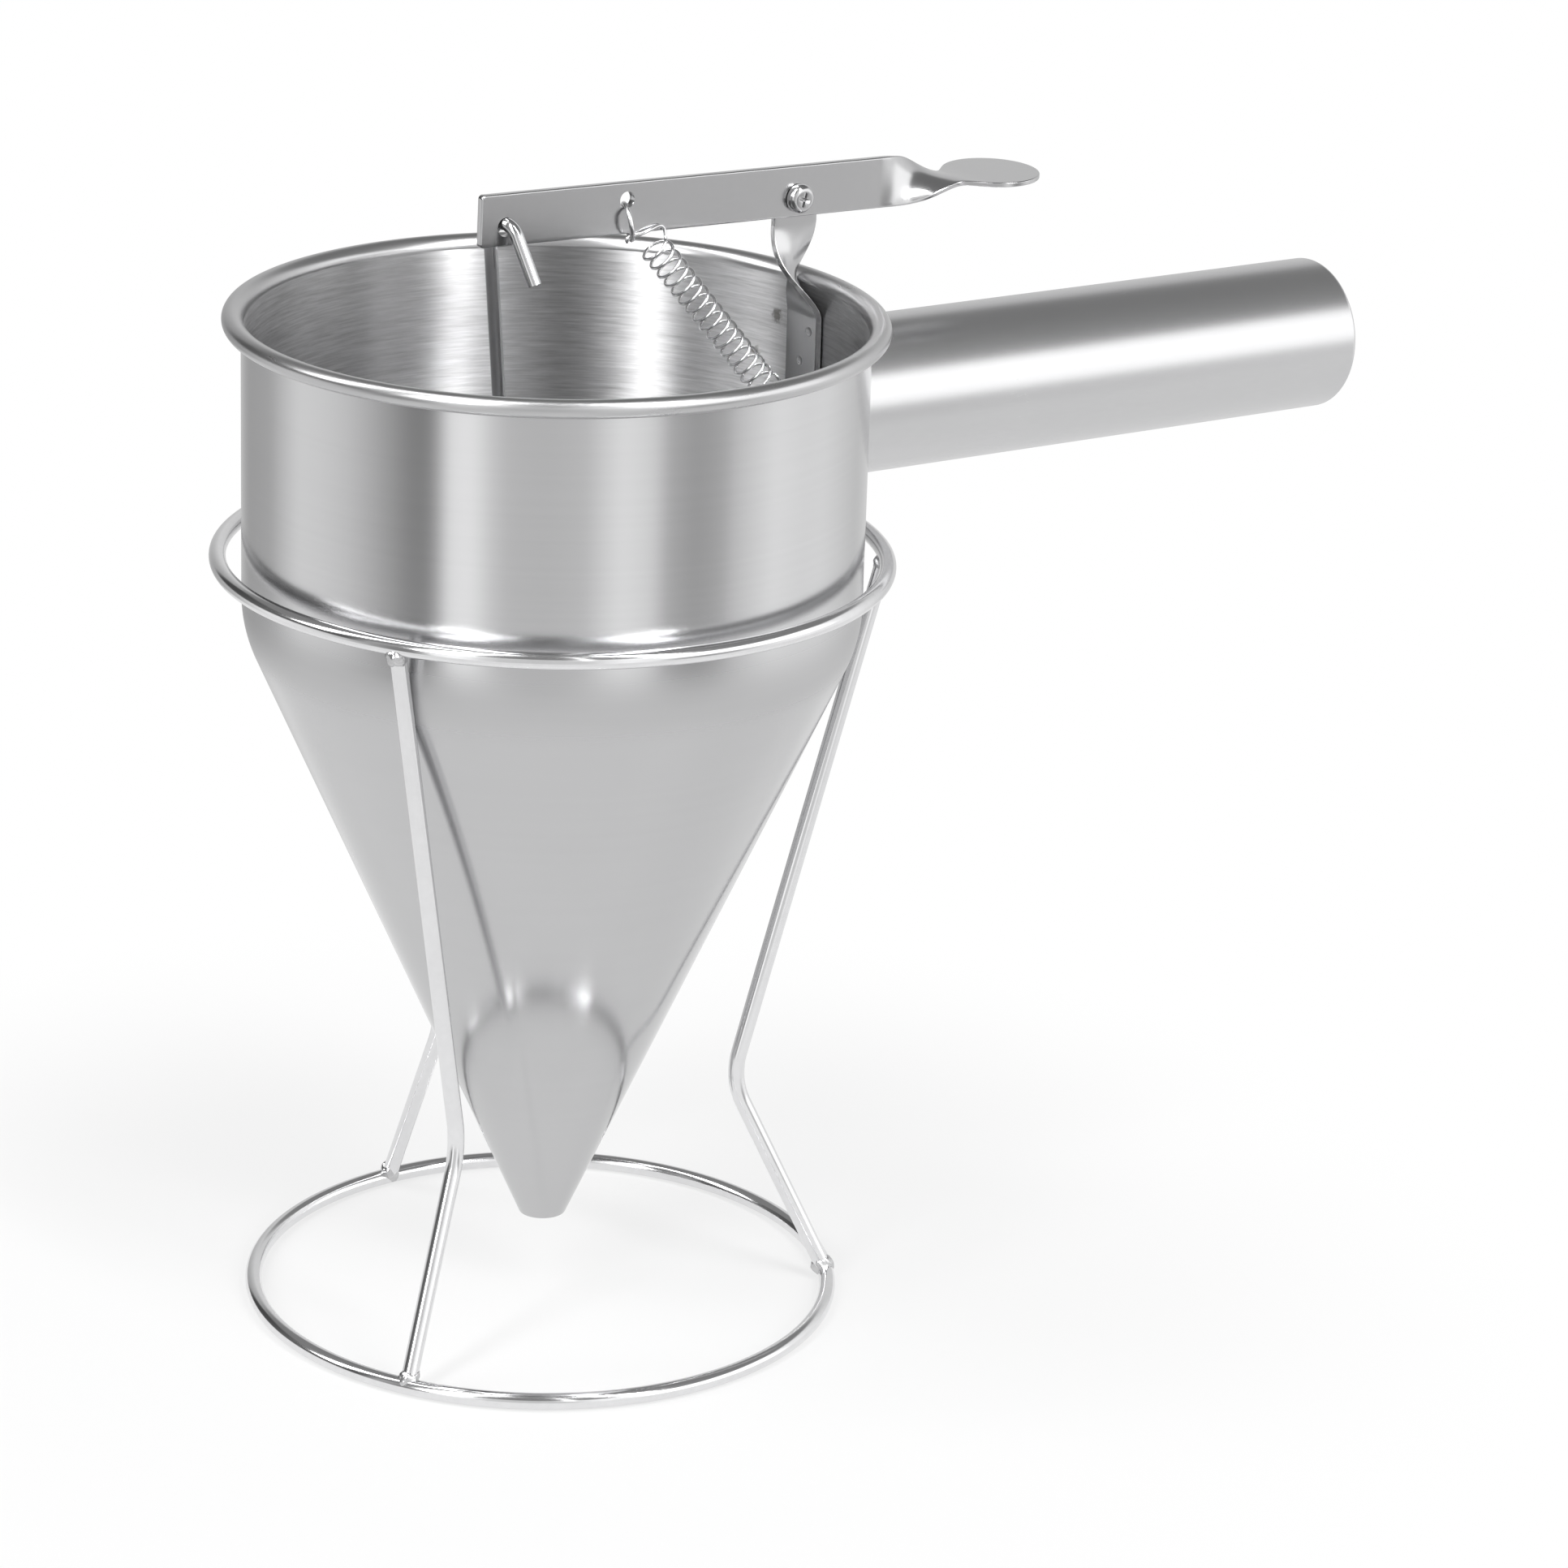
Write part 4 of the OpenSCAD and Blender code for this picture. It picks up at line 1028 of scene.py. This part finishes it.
for k in range(2):
    bar = Matrix.Rotation(radians(cross_turn + 90 * k), 4, "Z")
    bar @= Matrix.Diagonal((cross_l, cross_w, head_h, 1))
    made = bmesh.ops.create_cube(cross, size=1.0, matrix=bar)
    for v in made["verts"]:
        if v.co.z > 0:
            v.co.x *= foot_share[0]
            v.co.y *= foot_share[1]
        v.co.z -= head_h
screw_mesh = cut_solid(screw_mesh, [mesh_from(cross, "cross")], "DIFFERENCE", 38, 0.09, use_self=True)
fit_on_pivot(screw_mesh, head_y, "pivot_screw_turned", "pivot_screw", sharp=40)

# %% Washer and nut
washer_mesh = spun_mesh([(1.85, 0.08), (1.93, 0), (3.9, 0), (4, 0.08), (4, 0.42), (3.9, 0.5), (1.93, 0.5),
                         (1.85, 0.42)], 72)
fit_on_pivot(washer_mesh, strip_t / 2 + play, "pivot_washer_turned", "pivot_washer")
corner = 3.0 / cos(radians(30))  # half of 6 mm across the flats
nut_mesh = spun_mesh([(1.7, 0.2), (1.95, 0), (3.05, 0), (corner + 0.2, 0.3), (corner + 0.2, nut_t - 0.3),
                      (3.05, nut_t), (1.95, nut_t), (1.7, nut_t - 0.2)], 96)
half_up = Matrix.Translation((0, 0, nut_t / 2))
hexagon = prism(corner, 6, 6, half_up @ Matrix.Rotation(radians(30), 4, "Z"))
nut_mesh = cut_solid(nut_mesh, [hexagon], "INTERSECT", 38, 0, use_self=True)
fit_on_pivot(nut_mesh, nut_y, "pivot_nut_turned", "pivot_nut")

# %% [markdown]
# ## Link ring and spring
# A small open ring hangs in the lever's hole, and its ends stand a little apart behind the strip. The
# spring hooks on it, bows out before the lever in one opened curl, winds sixteen curls and hooks on the
# bracket's tab. Both are paths for the wire tree. Where the lever moves, the spring has to stretch.

# %% Link ring
link_wire, link_ring_r, link_lean, link_turn = 0.55, 4.4, radians(10), radians(22)
ring_start, ring_sweep, ring_steps, ends_apart, link_gap = 126, 350, 72, 0.5, 0.2
ring_hole = pivot + drooped @ Vector((ring_hole_u, 0, strip_rise + ring_hole_up))
hang = Vector((sin(link_lean), 0, -cos(link_lean)))
link_top = ring_hole + hang * (ring_hole_r - link_wire - link_gap)
link_centre = link_top + hang * link_ring_r
link_side = Vector((0, cos(link_turn), 0)) + hang.cross(Vector((0, 1, 0))) * sin(link_turn)
points = []
for i in range(ring_steps + 1):
    a = radians(ring_start + ring_sweep * i / ring_steps)
    open_by = hang.cross(link_side) * (i / ring_steps - 0.5) * ends_apart
    points.append(link_centre + (hang * cos(a) + link_side * sin(a)) * link_ring_r + open_by)
ring_mesh = wire("link_ring_wire", points, link_wire, 16, bright)
finish_mesh(ring_mesh, "link_ring_wire", "lever", ["link_ring"])

# %% Spring: where it hangs
spring_wire, coil_r, curls, hook_l, hook_gap = 0.4, 3.5, 16, 6.0, 0.1
hold = link_centre + hang * link_ring_r
end = Vector((strap_back + wall_gap - strap_t - tab_l + tab_over, foot_y, foot_low + strap_t / 2))


def square_to_y(direction):
    """The direction square to this one and to Y, which is the lever's axle."""
    return direction.cross(Vector((0, 1, 0))).normalized()


start = hold + square_to_y(end - hold) * coil_r
spring_l = (end - start).length
along = (end - start).normalized()
sideways = square_to_y(along)
top_hook = link_wire + spring_wire + hook_gap
low_hook = hypot(hook_hole_in - hook_hole_r, strap_t) / 2 + spring_wire + hook_gap
held = Vector(((hold - start).dot(along), (hold - start).dot(sideways), 0))


def spring_point(p):
    """From the spring's own axes (along it, sideways and along Y) to the object's."""
    return start + along * p[0] + sideways * p[1] + Vector((0, 1, 0)) * p[2]


def bezier(p, u):
    """The place at share u on a curve with two ends and two pulls."""
    return (1 - u) ** 3 * p[0] + 3 * u * (1 - u) ** 2 * p[1] + 3 * u * u * (1 - u) * p[2] + u ** 3 * p[3]


def hook(middle, r, start, turned_by, count):
    """Points round a hook's middle; its angles are in degrees."""
    return [middle + Vector((r * cos(a), r * sin(a), 0))
            for a in (radians(start + turned_by * i / count) for i in range(count + 1))]


print("spring between its hooks, mm:", round(spring_l, 1))

# %% Spring: path and wire
coil_start, steps_each = radians(36), 36
coil_steps = curls * steps_each
# The opened curl is pulled this way at its two ends, in coil radii.
opened_from, opened_to = Vector((0.62, 0.66, -1.1)), Vector((-1.2, 1.3, 0.5))
coil = []
for i in range(coil_steps + 1):
    u = i / coil_steps
    a = coil_start + (2 * pi * curls - coil_start) * u
    coil.append(Vector((hook_l + (spring_l - 2 * hook_l) * u, coil_r * cos(a), -coil_r * sin(a))))
hold_top = hook(held, top_hook, 270, -108, 16)
low_start = 60
hold_low = hook(Vector((spring_l, 0, 0)), low_hook, low_start, -180, 20)
low_a = radians(low_start)
lead_top = [hold_top[-1], hold_top[-1] + opened_from * coil_r, coil[0] + opened_to * coil_r, coil[0]]
lead_low = [coil[-1], coil[-1] - Vector((0, 0, coil_r)),
            hold_low[0] + Vector((-sin(low_a), cos(low_a), 0)) * coil_r / 2, hold_low[0]]
path_points = hold_top + [bezier(lead_top, i / 28) for i in range(1, 28)] + coil
path_points += [bezier(lead_low, i / 20) for i in range(1, 20)] + hold_low
spring_mesh = wire("spring_wire", [spring_point(p) for p in path_points], spring_wire, 12, bright)
spring_open = join_up(spring_mesh, near=1e-8)
shade(spring_mesh, 50)
spring = link(bpy.data.objects.new("return_spring_wire", spring_mesh))
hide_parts("return_spring")
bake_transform(spring)
print(f"return_spring_wire: {len(spring_mesh.polygons)} faces, {spring_open} open edges")

# %% [markdown]
# ## Rod and plug
# The rod hooks through the lever's inner hole, comes back down on the near side and ends there with a
# cut face. Its lower end carries the turned plug.

# %% Rod
rod_r, hook_r, hook_turn, hook_end, hook_azimuth = 1.6, 4.6, radians(156), 11.7, radians(76)
plug_r, plug_gap = 6.0, 0.25
slope = tan(radians(cone_lean))
plug_z = mouth_z + ((plug_r + plug_gap + sheet) / cos(radians(cone_lean)) - mouth_r) / slope
hook_rise = 0.5
rod_hole = pivot + drooped @ Vector((rod_hole_u, 0, 0))
rod_low = Vector((0, 0, plug_z))
rod_top = Vector((rod_hole.x - hook_r * (cos(hook_azimuth) + rod_hole.x / (rod_hole.z - plug_z)),
                  hook_r * sin(hook_azimuth), rod_hole.z + hook_rise - hook_r))
rod_dir = (rod_top - rod_low).normalized()
rod_tilt, rod_az = acos(rod_dir.z), atan2(rod_dir.y, rod_dir.x)
rod_turn = Matrix.Rotation(rod_az, 3, "Z") @ Matrix.Rotation(rod_tilt, 3, "Y")
rod_turn = rod_turn @ Matrix.Rotation(-hook_azimuth - rod_az, 3, "Z")
rod_steps = 12
points = [rod_low + rod_dir * (rod_top - rod_low).length * i / rod_steps for i in range(rod_steps)]
points += [rod_top + rod_turn @ Vector((hook_r * (1 - cos(a)), 0, hook_r * sin(a)))
           for a in in_steps(hook_turn, 40)]
tail = rod_turn @ Vector((sin(hook_turn), 0, cos(hook_turn)))
points += [points[-1] + tail * hook_end * s for s in (0.5, 1)]
rod_mesh = wire("stopper_rod_wire", points, rod_r, 32, rod_steel)
finish_mesh(rod_mesh, "stopper_rod_wire", "stopper", ["stopper_rod"])

# %% Plug
plug_low = plug_z - mouth_z - 1.0
low_angle = degrees(asin(plug_low / plug_r))
plug_outline = [(0, -plug_low)] + arc((0, 0), plug_r, -low_angle, 0, 14)
plug_outline += [(plug_r, 3.0), (plug_r - 0.25, 3.2), (plug_r - 0.25, 3.7), (plug_r, 3.9), (plug_r, 7.2),
                 (plug_r - 0.8, 8), (rod_r, 8), (rod_r, 0), (0, 0)]
rod_leans = Matrix.Rotation(rod_az, 4, "Z") @ Matrix.Rotation(rod_tilt, 4, "Y")
plug_place = Matrix.Translation(rod_low * MM) @ rod_leans
verts, faces = spin([(r * MM, z * MM) for r, z in plug_outline], 96, plug_place)
piece("stopper_plug_turned", verts, faces, [turned_steel], "stopper", ["stopper_plug"])

# %% [markdown]
# ## Sizes
# The dressed object must have the size of the imported one, so both boxes are written down and compared.

# %% Sizes
low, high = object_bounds()
over = [round((a - b) / MM, 2) for a, b in zip((*low, *high), (*cad_low, *cad_high))]
print("dressed minus packed, mm:", over)
